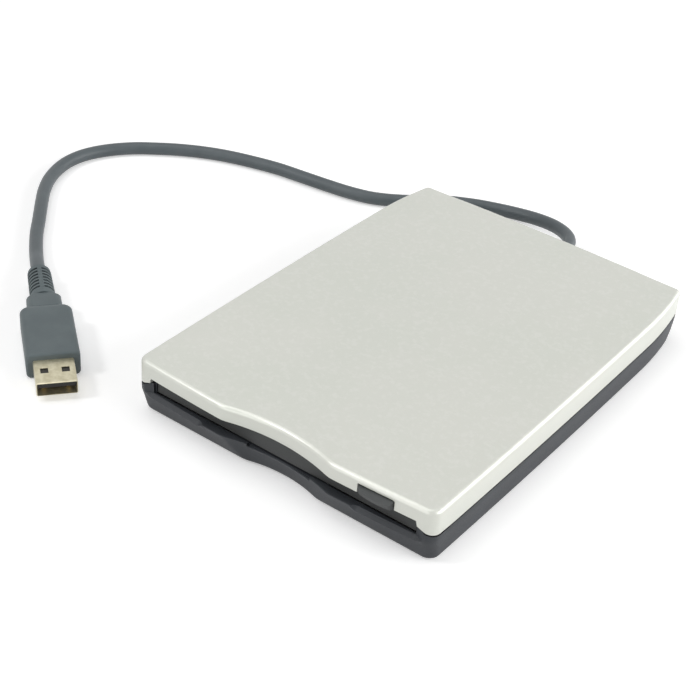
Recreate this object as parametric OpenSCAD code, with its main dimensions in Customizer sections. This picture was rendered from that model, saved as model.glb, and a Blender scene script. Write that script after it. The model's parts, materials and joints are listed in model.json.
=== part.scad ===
// External floppy disk drive with a fixed USB cord.
// Millimetres. X runs to the right, Y to the back and Z up, and the rubber feet stand on z = 0.
// Places along Y are written as distances behind the front corners, and shift() moves them
// so that the origin lies under the middle of the drive.

/* [Case] */
// Width across the middle of the case
case_w = 104; // [102:0.5:110]
// Depth from the front corners to the middle of the back
case_d = 143.4; // [143:0.2:150]
// Height from the table to the top of the cover
case_h = 18.5; // [18.3:0.1:20]
// Wall of the top cover
cover_wall = 1.6; // [1.2:0.1:1.8]
// Thickness of the cover's top
cover_top = 1.5; // [1:0.1:1.8]
// Wall of the base
base_wall = 2.4; // [2.1:0.1:2.6]
// Thickness of the base's floor
base_floor = 1.6; // [1.2:0.1:1.8]
// Height of the parting line between base and cover
seam_z = 10; // [9.8:0.1:10.4]
// Gap that shows at the parting line
seam_gap = 0.3; // [0.1:0.05:0.4]
// Fillet round the cover's top edge
top_fillet = 1.4; // [0.6:0.1:1.5]
// Fillet round the bottom of the base
bottom_fillet = 1; // [0.5:0.1:1.5]
// Upswept round along the bottom of the back
back_round = 7; // [4:0.5:7.5]
// How far the sides draw in towards the bottom
side_taper = 0.6; // [0:0.1:0.8]
// Radius of the front corners, seen from above
front_corner_r = 3.4; // [2.8:0.1:5]
// Radius of the back corners, seen from above
back_corner_r = 2; // [1.8:0.1:4]

/* [Front] */
// Radius of the bowed front, seen from above
bow_r = 760; // [600:10:1500]
// How far the bow stands in front of the corners
bow_out = 1.92; // [1:0.05:2.4]
// Half the width of the scoop in the middle of the front
scoop_half = 18.5; // [15:0.5:22]
// Radius of the scoop, seen from above
scoop_r = 59.7; // [50:0.5:90]
// How far the foot of the front leans back behind the corners
lean_back = 1.6; // [1:0.1:2]
// Half the width of the scoop at the foot of the front
foot_scoop_half = 12.5; // [10:0.5:16]
// Depth of the scoop at the foot of the front
foot_scoop = 2.05; // [1:0.05:2.4]
// Width of the front beyond each end of the disk slot
slot_end = 6; // [5.6:0.1:6.2]
// Height of the upper edge of the disk slot
slot_top = 13.6; // [13.4:0.1:13.8]
// Height of the ledge under the disk slot
ledge_z = 8.2; // [7.9:0.1:8.4]
// Half the width of the finger notch in the ledge
notch_half = 11; // [8:0.5:14]
// Depth of the finger notch
notch_d = 0.75; // [0.3:0.05:0.9]

/* [Door and button] */
// Thickness of the door flap
door_t = 1; // [0.8:0.1:1.2]
// Gap at each end of the door flap
door_gap = 0.7; // [0.6:0.05:1.2]
// Radius of the door's hinge pins
door_pin_r = 0.8; // [0.6:0.05:0.9]
// Clearance of pins and shafts that turn
run_gap = 0.05; // [0.02:0.01:0.1]
// Width of the eject button
button_w = 11; // [9:0.1:12.5]
// How far the button stands out of the front
button_out = 1.6; // [0.8:0.1:2.5]
// Gap round the button
button_gap = 0.3; // [0.2:0.05:0.5]
// Middle of the button, from the right side of the case
button_side = 18.5; // [17:0.5:22]
// Travel of the eject button
eject_travel = 4.5; // [3:0.1:4.6]

/* [Mechanism] */
// Room between the disk and the outside of the case, on each side
side_room = 7; // [6.9:0.05:7.1]
// Thickness of the disk
disk_t = 3.3; // [3.2:0.05:3.5]
// Thickness of the carrier's sheet steel
sheet_t = 0.6; // [0.4:0.05:0.7]
// Thickness of the chassis floor
chassis_t = 0.8; // [0.6:0.05:1]
// Drop of the disk carrier
carrier_drop = 1.8; // [1.4:0.1:2]
// Outer radius of the rotor
rotor_r = 20; // [18:0.5:20.3]
// Radius of the spindle shaft
shaft_r = 1.5; // [1:0.1:1.8]
// Number of stator teeth
stator_teeth = 12; // [6:3:15]
// Radius of the guide rods
rod_r = 1.5; // [1:0.1:1.6]
// Spacing of the guide rods
rod_pitch = 28; // [26:0.5:29]
// Travel of the heads from the outer to the inner track
head_travel = 14.8; // [10:0.1:15]
// Radius of the stepper motor
stepper_r = 6; // [5:0.1:6.1]
// Length of the stepper motor
stepper_l = 12; // [8:0.5:13]
// Lead of the lead screw
screw_lead = 3.75; // [2:0.25:5]
// Travel of the switch plungers
plunger_travel = 0.8; // [0.4:0.1:1]

/* [Feet and screws] */
// Radius of the rubber feet
foot_r = 4; // [3:0.1:4.5]
// How far the feet stand out below the base
foot_out = 0.6; // [0.4:0.1:1]
// Depth of the recess that holds a foot
foot_recess = 0.8; // [0.4:0.1:1]
// Radius of the case screws' shanks
screw_r = 1.1; // [0.8:0.05:1.3]
// Radius of the case screws' heads
screw_head_r = 2.3; // [1.9:0.1:2.5]

/* [Cord and plug] */
// Diameter of the cord
cord_d = 4.6; // [4:0.1:4.8]
// Width of the plug's metal shell
shell_w = 12; // [11.8:0.1:12.2]
// Thickness of the plug's metal shell
shell_h = 4.5; // [4.3:0.1:4.7]
// Length of the plug's metal shell outside its body
shell_l = 11.75; // [11:0.25:12.5]
// Sheet of the plug's metal shell
shell_t = 0.3; // [0.2:0.05:0.4]
// Width of the plug's body
plug_w = 16; // [14.5:0.1:18]
// Thickness of the plug's body
plug_h = 8.5; // [7.4:0.1:9.5]
// Length of the plug's body
plug_l = 27; // [20:0.5:34]
// Width of the neck behind the plug's body
neck_w = 10.8; // [9:0.1:12]
// Thickness of the neck
neck_h = 7.6; // [6:0.1:8]
// Length of the neck
neck_l = 8; // [5:0.5:12]
// Length of the ribbed boot
boot_l = 16.5; // [12:0.5:20]
// Diameter of the ribbed boot
boot_d = 8; // [7:0.1:8.4]
// Number of slots along each side of the boot
boot_slots = 7; // [4:1:9]

/* [Hidden] */
$fn = 48;
case_half = case_w / 2;
slot_half = case_half - slot_end;
door_half = slot_half - door_gap;
disk_w = case_w - 2 * side_room;
button_x = case_half - button_side;
// Places given by their distance from the back and from the side
function back(d) = case_d - d;
function side(d) = case_half - d;
under_z = foot_out;                            // underside of the base
floor_z = under_z + base_floor;                // inside of the base's floor
ceiling_z = case_h - cover_top;                // inside of the cover's top
rim_z = seam_z - seam_gap / 2;                 // top of the base's outer rim
skirt_z = seam_z + seam_gap / 2;               // bottom of the cover's skirt
tongue_z = seam_z + 1;                         // top of the tongue inside the seam
tongue_gap = 0.15;
widest_y = 62;                                 // where the sides bow out most
side_bow_r = 4640;
sweep_y = back(26.4);                          // where the sides start to draw in
sweep_r = 140;
back_bow_r = 1296;
front_y = -bow_out - button_out + 0.5;         // foremost point, on the button
mid_y = (case_d + front_y) / 2;

// ---- plan outline of the case ----
function mix(a, b, t) = a + (b - a) * t;
function clamp01(t) = min(1, max(0, t));
function arc_drop(r, x) = r - sqrt(r * r - x * x);
function half_width(y) = case_half - pow(y - widest_y, 2) / (2 * side_bow_r)
    - (y > sweep_y ? pow(y - sweep_y, 2) / (2 * sweep_r) : 0);
// Front edge: lean is 1 at the ledge and 0 at the foot
function bow_y(x, lean) = mix(lean_back, arc_drop(bow_r, x) - bow_out, lean);
function scoop_y(s, lean) =
    mix(lean_back + foot_scoop * (1 - s * s),
        arc_drop(bow_r, scoop_half) - bow_out
            + arc_drop(scoop_r, scoop_half) - arc_drop(scoop_r, s * scoop_half), lean);
scoop_steps = 14;
bow_steps = 6;
corner_steps = 6;
side_steps = 14;
back_steps = 8;
function front_half(lean, side_in) =
    let(shoulder = mix(foot_scoop_half, scoop_half, lean),
        corner_x = half_width(front_corner_r) - side_in - front_corner_r)
    concat([for (i = [1 : scoop_steps / 2]) let(s = 2 * i / scoop_steps)
                [s * shoulder, scoop_y(s, lean)]],
           [for (i = [1 : bow_steps]) let(x = mix(shoulder, corner_x, i / bow_steps))
                [x, bow_y(x, lean)]]);
function right_side(lean, side_in, back_in) =
    let(corner_x = half_width(front_corner_r) - side_in - front_corner_r,
        corner_y = bow_y(corner_x, lean) + front_corner_r,
        turn = atan((case_d - back_corner_r - sweep_y) / sweep_r),
        end_y = case_d - back_in - arc_drop(back_bow_r, 47) - back_corner_r * (1 - sin(turn)),
        end_x = half_width(end_y) - side_in,
        hub = [end_x - back_corner_r * cos(turn), end_y - back_corner_r * sin(turn)])
    concat([for (i = [1 : corner_steps]) let(a = -90 + 90 * i / corner_steps)
                [corner_x + front_corner_r * cos(a), corner_y + front_corner_r * sin(a)]],
           [for (i = [1 : side_steps]) let(y = mix(corner_y, end_y, i / side_steps))
                [half_width(y) - side_in, y]],
           [for (i = [1 : corner_steps]) let(a = mix(turn, 90, i / corner_steps))
                hub + back_corner_r * [cos(a), sin(a)]]);
function half_outline(lean, side_in, back_in) =
    let(side = right_side(lean, side_in, back_in), last = side[len(side) - 1])
    concat(front_half(lean, side_in), side,
           [for (i = [1 : back_steps - 1]) let(x = last.x * (1 - i / back_steps))
                [x, mix(last.y, case_d - back_in - arc_drop(back_bow_r, x),
                        clamp01(3 * i / back_steps))]]);
function mirrored(points) = [for (i = [len(points) - 1 : -1 : 0]) [-points[i].x, points[i].y]];
function outline(lean = 1, side_in = 0, back_in = 0) =
    let(half = half_outline(lean, side_in, back_in))
    concat([[0, scoop_y(0, lean)]], half, [[0, case_d - back_in]], mirrored(half));
function unit(v) = v / norm(v);
function drawn_in(points, d) =
    let(n = len(points))
    [for (i = [0 : n - 1]) let(along = unit(points[(i + 1) % n] - points[(i + n - 1) % n]))
        points[i] + d * [-along.y, along.x]];
function at_z(points, z) = [for (p = points) [p.x, p.y, z]];

// Closed skin over a stack of rings with the same number of points
module skin(rings) {
    n = len(rings[0]);
    last = len(rings) - 1;
    polyhedron(
        points = [for (ring = rings) each ring],
        faces = concat([[for (i = [0 : n - 1]) i]],
            [for (k = [0 : last - 1], i = [0 : n - 1]) let(j = (i + 1) % n)
                [k * n + i, (k + 1) * n + i, (k + 1) * n + j, k * n + j]],
            [[for (i = [n - 1 : -1 : 0]) last * n + i]]));
}
module shift() { translate([0, -mid_y, 0]) children(); }
module both_sides() { children(); mirror([1, 0, 0]) children(); }
module slab(x0, x1, y0, y1, z0, z1) { translate([x0, y0, z0]) cube([x1 - x0, y1 - y0, z1 - z0]); }
// Cylinders between two places on an axis
module along_x(r, x0, x1, y, z) { translate([x0, y, z]) rotate([0, 90, 0]) cylinder(r = r, h = x1 - x0); }
module along_y(r, y0, y1, x, z) { translate([x, y0, z]) rotate([-90, 0, 0]) cylinder(r = r, h = y1 - y0); }
module upright(r, z0, z1, x, y) { translate([x, y, z0]) cylinder(r = r, h = z1 - z0); }
// Plate seen from the front, from y0 to y1
module front_cut(points, y0, y1) {
    translate([0, y1, 0]) rotate([90, 0, 0]) linear_extrude(y1 - y0) polygon(points);
}

// ---- levels and places that several pieces share ----
chassis_z = floor_z + chassis_t;               // top of the chassis floor
board_t = 0.8;
board_z = chassis_z + board_t;                 // top of the boards
disk_low = ledge_z + 1;                        // bottom of a disk as it goes in
carrier_lip_z = disk_low - 0.25;               // top of the carrier's lips
carrier_top_z = disk_low + disk_t + 0.6;       // underside of the carrier's top plate
carrier_in = disk_w / 2 + 0.6;                 // inner face of the carrier's flanges
carrier_out = carrier_in + sheet_t;
rail_in = carrier_out + 0.4;                   // inner face of the slide plate's rails
rail_out = rail_in + sheet_t;
chassis_in = rail_out + 0.8;                   // inner face of the chassis walls
chassis_out = chassis_in + 0.6;
chassis_y = [6, back(35.4)];                   // front and back of the chassis floor
wall_y1 = back(43.4);                          // back end of its side walls
bay_x = 32;                                    // half the width of the head positioner's bay
motor_board_x = 27;
carrier_y0 = 10;
carrier_y1 = back(48.4);
carrier_pin_y = [25, back(58.4)];
carrier_pin_z = disk_low + 1.8;
carrier_pin_r = 0.7;
slide_top_z = carrier_top_z + sheet_t + 1.25;  // underside of the slide plate's bridge
slide_y0 = 17;
slide_y1 = back(51.4);
bridge_y1 = back(83.4);
shield_z = slide_top_z + sheet_t + 0.5;        // underside of the shield plate
spindle_y = back(95.9);
shield_y = [spindle_y - 27.5, wall_y1];
head_y = spindle_y + 39.5;                     // heads over the outermost track
foot_at = [[side(10), 12], [side(11), back(25.4)]];
case_screw_at = [side(7), back(14.4)];
chassis_screw_at = [[side(8.5), 22], [side(8.5), back(39.4)]];
door_y = lean_back;                            // front face of the door
door_bottom = ledge_z + 0.1;
door_top = slot_top - 0.2;
hinge_y = door_y + door_t + 0.3;
hinge_z = slot_top + 0.7;
ear_x = door_half + 1.3;                       // inner face of the hinge ears
ear_t = 1.4;
groove_d = 0.5;                                // depth of the groove under the door
window_top = 16.6;
front_cut_y = 4.5;                             // depth of the cuts through the front skirt
button_top = window_top - button_gap;
button_low = slot_top + 0.1;
exit_z = 7.3;                                  // height of the cord's outlet
relief_r = 2.05;
relief_start = case_d - 5;
relief_end = case_d + 9.6;

// ---- case ----
module top_cover() {
    edge = outline();
    inner = drawn_in(edge, cover_wall);
    steps = 5;
    rings = concat(
        [at_z(inner, ceiling_z), at_z(inner, skirt_z), at_z(edge, skirt_z)],
        [for (i = [0 : steps]) let(a = 90 * i / steps)
            at_z(drawn_in(edge, top_fillet * (1 - cos(a))),
                 case_h - top_fillet * (1 - sin(a)))]);
    color([0.82, 0.82, 0.79]) shift() difference() {
        union() {
            difference() {
                skin(rings);
                // the skirt is cut away over the disk slot and steps down past its ends
                both_sides() front_cut([[-1, skirt_z - 1], [-1, slot_top], [slot_half, slot_top],
                    [slot_half + 0.4, 12], [slot_half + 3, 10.9], [slot_half + 4.5, 10.55],
                    [case_half - 0.2, 10.35], [case_half + 1, 10.3], [case_half + 1, skirt_z - 1]],
                    -5, front_cut_y);
                // button window, open at the bottom
                half = button_w / 2 + button_gap;
                translate([button_x, 0, 0])
                    front_cut([[-half, slot_top - 1], [-half, window_top], [half - 0.6, window_top],
                        [half - 0.15, window_top - 0.2], [half, window_top - 0.6],
                        [half, slot_top - 1]], -5, front_cut_y);
            }
            both_sides() {
                slab(ear_x, ear_x + ear_t, 1, hinge_y + 1.6, hinge_z - 1.6, ceiling_z + 0.5);
                upright(3, seam_z + 0.2, ceiling_z + 0.5, case_screw_at.x, case_screw_at.y);
            }
        }
        both_sides() {
            along_x(door_pin_r + run_gap, ear_x - 1, ear_x + ear_t + 1, hinge_y, hinge_z);
            upright(screw_r, seam_z, ceiling_z - 1, case_screw_at.x, case_screw_at.y);
        }
    }
}
function fillet_in(z) = z - under_z >= bottom_fillet ? 0
    : arc_drop(bottom_fillet, bottom_fillet - (z - under_z));
function round_in(z) = z - under_z >= back_round ? 0 : arc_drop(back_round, back_round - (z - under_z));
function base_ring(z) =
    let(lean = clamp01((z - under_z - 0.3) / (ledge_z - under_z - 0.3)),
        rise = clamp01((rim_z - z) / (rim_z - under_z)))
    at_z(drawn_in(outline(lean, side_taper * rise, round_in(z)), fillet_in(z)), z);
function cavity_ring(z, extra = 0) =
    at_z(outline(0, base_wall + extra, base_wall + extra + round_in(z - base_floor)), z);
module base_case() {
    tongue_in = cover_wall + tongue_gap;
    levels = [under_z, under_z + 0.15, under_z + 0.5, under_z + 1.2, 2.8, 4.2, 6, ledge_z, rim_z];
    rings = concat(
        [for (z = levels) base_ring(z)],
        [at_z(drawn_in(outline(1), tongue_in), rim_z), at_z(drawn_in(outline(1), tongue_in), tongue_z),
         cavity_ring(tongue_z), cavity_ring(7.6), cavity_ring(5), cavity_ring(3.2), cavity_ring(floor_z)]);
    color([0.29, 0.31, 0.33]) shift() difference() {
        union() {
            difference() {
                skin(rings);
                // ledge in front of the door, the groove under the door and the finger notch
                slab(-slot_half, slot_half, -6, 7, ledge_z, tongue_z + 1);
                slab(-door_half - 0.5, door_half + 0.5, door_y - 0.3, 7, ledge_z - groove_d, ledge_z + 1);
                slab(-notch_half, notch_half, -6, door_y - 0.2, ledge_z - notch_d, ledge_z + 1);
            }
            // cheeks at the ends of the slot, under the stepped skirt
            intersection() {
                translate([0, 0, rim_z - 0.2]) linear_extrude(4) polygon(drawn_in(outline(), 0.05));
                both_sides() front_cut([[slot_half, rim_z - 0.2], [slot_half, 11.6],
                    [slot_half + 0.2, 11.7], [slot_half + 2.9, 10.55], [slot_half + 4.4, 10.2],
                    [case_half, rim_z], [case_half, rim_z - 0.2]], -5, 2.5);
            }
            both_sides()
                upright(3.5, floor_z - 0.4, rim_z, case_screw_at.x, case_screw_at.y);
            // posts under the interface board
            for (x = [usb_x[0] + 4, usb_x[1] - 4], y = [usb_y[0] + 2.2, usb_y[1] - 7])
                upright(1.8, floor_z - 0.4, usb_z, x, y);
        }
        both_sides() {
            for (p = foot_at) upright(foot_r, under_z - 1, under_z + foot_recess, p.x, p.y);
            upright(screw_head_r + 0.2, under_z - 1, 3, case_screw_at.x, case_screw_at.y);
            upright(screw_r + 0.2, under_z, rim_z + 1, case_screw_at.x, case_screw_at.y);
            for (p = chassis_screw_at) upright(chassis_screw_r, floor_z - 1.2, floor_z + 1, p.x, p.y);
        }
        along_y(relief_r, case_d - 6, case_d + 1, 0, exit_z);
    }
}
module rubber_feet() {
    color([0.13, 0.13, 0.14]) shift() both_sides() for (p = foot_at)
        translate([p.x, p.y, 0]) rotate_extrude()
            polygon([[0, 0], [foot_r - 0.4, 0], [foot_r, 0.4],
                     [foot_r, foot_out + foot_recess], [0, foot_out + foot_recess]]);
}
module case_screws() {
    color([0.5, 0.5, 0.52]) shift() both_sides() difference() {
        union() {
            upright(screw_head_r, 1.6, 3, case_screw_at.x, case_screw_at.y);
            upright(screw_r, 3, 14, case_screw_at.x, case_screw_at.y);
        }
        translate([case_screw_at.x, case_screw_at.y, 1.9]) for (a = [0, 90])
            rotate([0, 0, a]) cube([2.4, 0.5, 0.8], center = true);
    }
}
chassis_screw_r = 1;
module chassis_screws() {
    color([0.7, 0.7, 0.72]) shift() both_sides() for (p = chassis_screw_at) {
        upright(chassis_screw_r, floor_z - 1.2, chassis_z, p.x, p.y);
        upright(1.9, chassis_z, chassis_z + 1.2, p.x, p.y);
    }
}

// ---- frame and drive electronics ----
module drive_chassis() {
    color([0.72, 0.73, 0.74]) shift() difference() {
        union() {
            slab(-chassis_out, chassis_out, chassis_y[0], chassis_y[1], floor_z, chassis_z);
            slab(-4, bay_x, chassis_y[1] - 1, chassis_y[1] + 24, floor_z, chassis_z);
            slab(-bay_x, -4, chassis_y[1] - 1, chassis_y[1] + 8, floor_z, chassis_z);
            both_sides() slab(chassis_in, chassis_out, chassis_y[0], wall_y1, floor_z, shield_z);
        }
        both_sides() {
            for (p = chassis_screw_at) upright(chassis_screw_r, 0, chassis_z + 1, p.x, p.y);
            // upright slots that guide the carrier's pins
            for (y = carrier_pin_y) slab(chassis_in - 0.5, chassis_out + 0.5,
                y - carrier_pin_r - 0.1, y + carrier_pin_r + 0.1,
                carrier_pin_z - carrier_drop - 1, carrier_pin_z + 1);
        }
    }
}
module shield_plate() {
    color([0.75, 0.76, 0.77]) shift() difference() {
        slab(-chassis_out, chassis_out, shield_y[0], shield_y[1], shield_z, shield_z + 0.4);
        both_sides() slab(rotor_r, rotor_r + 16, spindle_y - 13.5, spindle_y + 4.5,
                          shield_z - 1, shield_z + 1);
    }
}
module motor_board() {
    color([0.1, 0.35, 0.2]) shift() difference() {
        slab(-motor_board_x, motor_board_x, spindle_y - motor_board_x, spindle_y + 21.5,
             chassis_z, board_z);
        upright(bearing_r + 0.2, 0, board_z + 1, 0, spindle_y);
    }
}
bearing_r = 4;
bearing_top = board_z + 2.4;
core_z = board_z + 0.6;
core_t = 1.2;
magnet_in = rotor_r - 2.8;
tooth_end = magnet_in - 0.6;
module spindle_bearing() {
    color([0.72, 0.55, 0.25]) shift() difference() {
        upright(bearing_r, chassis_z, bearing_top, 0, spindle_y);
        upright(shaft_r + run_gap, chassis_z - 1, bearing_top + 1, 0, spindle_y);
    }
}
module around_spindle() {
    for (i = [0 : stator_teeth - 1])
        translate([0, spindle_y, 0]) rotate([0, 0, i * 360 / stator_teeth]) children();
}
coil_r0 = 9;
coil_r1 = tooth_end - 2;
module stator_core() {
    color([0.45, 0.46, 0.48]) shift() difference() {
        union() {
            upright(coil_r0 - 0.4, core_z, core_z + core_t, 0, spindle_y);
            around_spindle() {
                slab(bearing_r + 1, tooth_end - 0.8, -1.2, 1.2, core_z, core_z + core_t);
                slab(tooth_end - 1.6, tooth_end - 0.4, -3, 3, core_z, core_z + core_t);
            }
        }
        upright(bearing_r, 0, 9, 0, spindle_y);
    }
}
module stator_coils() {
    color([0.7, 0.38, 0.15]) shift() around_spindle() difference() {
        slab(coil_r0, coil_r1, -2.1, 2.1, core_z - 0.5, core_z + core_t + 0.5);
        slab(0, rotor_r, -1.2, 1.2, core_z, core_z + core_t);
    }
}
rotor_top = bearing_top + 1;
module rotor_cup() {
    color([0.76, 0.77, 0.78]) shift() translate([0, spindle_y, 0]) rotate_extrude()
        polygon([[shaft_r, rotor_top - 0.6], [rotor_r - 0.6, rotor_top - 0.6],
                 [rotor_r - 0.6, core_z - 0.2], [rotor_r, core_z - 0.2],
                 [rotor_r, rotor_top], [shaft_r, rotor_top]]);
}
module ring_magnet() {
    color([0.2, 0.2, 0.21]) shift() difference() {
        upright(rotor_r - 0.6, core_z - 0.2, rotor_top - 0.7, 0, spindle_y);
        upright(magnet_in, 0, 20, 0, spindle_y);
    }
}
module spindle_shaft() {
    color([0.8, 0.8, 0.82]) shift() upright(shaft_r, chassis_z + 0.1, rotor_top + 1.4, 0, spindle_y);
}
drive_pin_at = [9.9, 0];
module hub_plate() {
    color([0.82, 0.82, 0.83]) shift() difference() {
        upright(12.4, rotor_top, rotor_top + 1, 0, spindle_y);
        upright(shaft_r, 0, 20, 0, spindle_y);
        upright(1.7, 0, 20, drive_pin_at.x, spindle_y);
    }
}
module drive_pin() {
    color([0.6, 0.6, 0.62]) shift()
        upright(1.4, rotor_top, rotor_top + 1.4, drive_pin_at.x, spindle_y);
}

// ---- head positioner ----
rod_x = rod_pitch / 2;
rod_z = chassis_z + rod_r + 1.1;
rod_y = [back(67), back(24.2)];
clip_l = 2.4;
module guide_rods() {
    color([0.8, 0.81, 0.82]) shift() both_sides() along_y(rod_r, rod_y[0] + 0.6, rod_y[1] - 0.6, rod_x, rod_z);
}
module rod_clips() {
    color([0.2, 0.21, 0.22]) shift() both_sides() for (y = [rod_y[0], rod_y[1] - clip_l]) difference() {
        slab(rod_x - 2.5, rod_x + 2.5, y, y + clip_l, chassis_z, rod_z + 2.4);
        along_y(rod_r, y - 1, y + clip_l + 1, rod_x, rod_z);
    }
}
carriage_x = rod_x + 3;
carriage_y = [head_y + 8.5, head_y + 25.5];
carriage_top = rod_z + 1.8;
arm_y = carriage_y[1] - 1.6;
arm_z = carriage_top + 4;
arm_pin_r = 0.8;
module head_carriage() {
    color([0.16, 0.17, 0.18]) shift() difference() {
        union() {
            slab(-carriage_x, carriage_x, carriage_y[0], carriage_y[1], rod_z - 1.8, carriage_top);
            slab(-6, 6, head_y - 4, carriage_y[0] + 1, rod_z - 1.4, carriage_top);
            slab(-4, 4, head_y - 3.5, head_y + 4, carriage_top - 1, carriage_top + 0.7);
            both_sides() slab(6, 8, carriage_y[1] - 3.2, carriage_y[1], carriage_top - 1, arm_z + 1.6);
            slab(-carriage_x - 3, -carriage_x + 1, carriage_y[1] - 3.5, carriage_y[1] - 2,
                 rod_z - 0.6, rod_z);
        }
        both_sides() {
            along_y(rod_r + run_gap, carriage_y[0] - 1, carriage_y[1] + 1, rod_x, rod_z);
            along_x(arm_pin_r + run_gap, 5, 9, arm_y, arm_z);
        }
        slab(-9, 9, carriage_y[0] + 2, carriage_y[1] - 5, rod_z - 3, rod_z + 0.4);
    }
}
module lower_head() {
    color([0.35, 0.3, 0.26]) shift() difference() {
        slab(-2.5, 2.5, head_y - 3, head_y + 3, carriage_top + 0.7, carriage_top + 1.4);
        slab(-0.2, 0.2, head_y - 2, head_y + 2, carriage_top + 1.1, carriage_top + 2);
    }
}
screw_x = 24;
screw_z = chassis_z + stepper_r + 0.2;
module screw_follower() {
    y1 = carriage_y[1] + 2.5;
    color([0.85, 0.85, 0.8]) shift() {
        slab(carriage_x, carriage_x + 2.5, carriage_y[1] - 2.5, y1, rod_z - 0.6, screw_z + 0.6);
        slab(carriage_x + 2.5, screw_x - 1.6, carriage_y[1] + 0.2, y1, rod_z - 0.6, screw_z + 0.6);
    }
}
module upper_arm() {
    color([0.7, 0.71, 0.72]) shift() {
        along_x(1.5, -5.8, 5.8, arm_y, arm_z);
        along_x(arm_pin_r, -8.2, 8.2, arm_y, arm_z);
        slab(-5, 5, arm_y - 1.2, arm_y + 0.8, arm_z, carrier_top_z + 2.3);
        slab(-5, 5, head_y - 4, arm_y + 0.8, carrier_top_z + 1.2, carrier_top_z + 2.3);
    }
}
module upper_head() {
    color([0.35, 0.3, 0.26]) shift() slab(-2.5, 2.5, head_y - 3, head_y + 3,
                                          carrier_top_z - 0.1, carrier_top_z + 1.2);
}
bracket_y = [back(47.8), back(24.4)];
module stepper_bracket() {
    color([0.74, 0.75, 0.76]) shift() difference() {
        union() {
            slab(screw_x - 4.5, screw_x + 4.5, bracket_y[0], bracket_y[1], chassis_z, chassis_z + 0.8);
            slab(screw_x - 3.5, screw_x + 3.5, bracket_y[0], bracket_y[0] + 1.2, chassis_z, screw_z + 2.4);
            slab(screw_x - 6.5, screw_x + 6.5, bracket_y[1] - 0.8, bracket_y[1], chassis_z,
                 screw_z + stepper_r);
        }
        along_y(0.8 + run_gap, bracket_y[0] - 1, bracket_y[0] + 2, screw_x, screw_z);
        along_y(2.2, bracket_y[1] - 2, bracket_y[1] + 1, screw_x, screw_z);
    }
}
module stepper_motor() {
    color([0.66, 0.67, 0.69]) shift() difference() {
        union() {
            along_y(stepper_r, bracket_y[1], bracket_y[1] + stepper_l, screw_x, screw_z);
            slab(screw_x - 2.5, screw_x + 2.5, bracket_y[1] + 3, bracket_y[1] + 8,
                 screw_z + stepper_r - 1, screw_z + stepper_r + 1);
        }
        along_y(1 + run_gap, bracket_y[1] - 1, bracket_y[1] + 6, screw_x, screw_z);
    }
}
module lead_screw() {
    thread_y = [bracket_y[0] + 1.6, bracket_y[1] - 2];
    turns = floor((thread_y[1] - thread_y[0]) / screw_lead);
    color([0.8, 0.78, 0.7]) shift() translate([screw_x, 0, screw_z]) rotate([-90, 0, 0]) rotate_extrude()
        polygon(concat([[0, bracket_y[0]], [0.8, bracket_y[0]], [0.8, thread_y[0]], [1.45, thread_y[0]]],
            [for (i = [1 : turns], p = [[1.45, -1], [1.1, -0.5], [1.1, 0], [1.45, 0.5]])
                [p[0], thread_y[0] + (i - 0.5) * screw_lead + p[1]]],
            [[1.45, thread_y[1]], [1, thread_y[1]], [1, bracket_y[1] + 5.5], [0, bracket_y[1] + 5.5]]));
}
module track_zero_sensor() {
    color([0.12, 0.12, 0.13]) shift() difference() {
        slab(-carriage_x - 7.5, -carriage_x - 1, carriage_y[1] - 6, carriage_y[1] + 0.5,
             chassis_z, rod_z + 2);
        slab(-carriage_x - 5.5, -carriage_x, carriage_y[1] - 7, carriage_y[1] + 1,
             rod_z - 1.2, rod_z + 0.6);
    }
}

// ---- electronics at the back and on the left ----
usb_z = floor_z + 2.2;
control_x = -side(6.5);                        // left edge of the control board
control_y1 = back(45.4);                       // its back edge
flex_x = -side(13);
flex_w = 9;
usb_x = [-side(12), -8];
usb_y = [back(23.6), back(6.4)];
module control_board() {
    color([0.1, 0.35, 0.2]) shift() slab(control_x, control_x + 17, control_y1 - 28, control_y1,
                                         chassis_z, board_z);
}
module control_chips() {
    color([0.1, 0.1, 0.11]) shift() {
        slab(control_x + 5, control_x + 14, control_y1 - 25, control_y1 - 16, board_z, board_z + 1.2);
        slab(control_x + 6, control_x + 12, control_y1 - 13, control_y1 - 7, board_z, board_z + 1.2);
        for (d = [11, 8]) slab(control_x + 1.5, control_x + 4, control_y1 - d, control_y1 - d + 1.6,
                               board_z, board_z + 0.9);
        slab(flex_x - 1, flex_x + flex_w + 0.5, control_y1 - 4, control_y1 - 1, board_z, flex_z);
    }
}
flex_z = usb_z + board_t + 0.8;
module usb_board() {
    color([0.1, 0.3, 0.24]) shift() slab(usb_x[0], usb_x[1], usb_y[0], usb_y[1], usb_z, usb_z + board_t);
}
module usb_chips() {
    top = usb_z + board_t;
    color([0.1, 0.1, 0.11]) shift() {
        slab(usb_x[1] - 16, usb_x[1] - 8, usb_y[1] - 12, usb_y[1] - 4, top, top + 1.2);
        slab(usb_x[0] + 4, usb_x[0] + 9, usb_y[1] - 9, usb_y[1] - 6, top, top + 1.6);
        slab(flex_x - 1, flex_x + flex_w + 0.5, usb_y[0] + 0.2, usb_y[0] + 3.2, top, flex_z);
    }
}
module flex_cable() {
    color([0.75, 0.5, 0.2]) shift() slab(flex_x, flex_x + flex_w, control_y1 - 3.5, usb_y[0] + 2.8,
                                        flex_z, flex_z + 0.3);
}
module cord_header() {
    top = usb_z + board_t;
    color([0.9, 0.9, 0.86]) shift() difference() {
        slab(usb_x[1] - 6, usb_x[1], usb_y[1] - 13, usb_y[1] - 1, top, top + 3);
        slab(usb_x[1] - 4.5, usb_x[1] + 1, usb_y[1] - 12, usb_y[1] - 2, top + 0.8, top + 3.5);
    }
}
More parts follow.
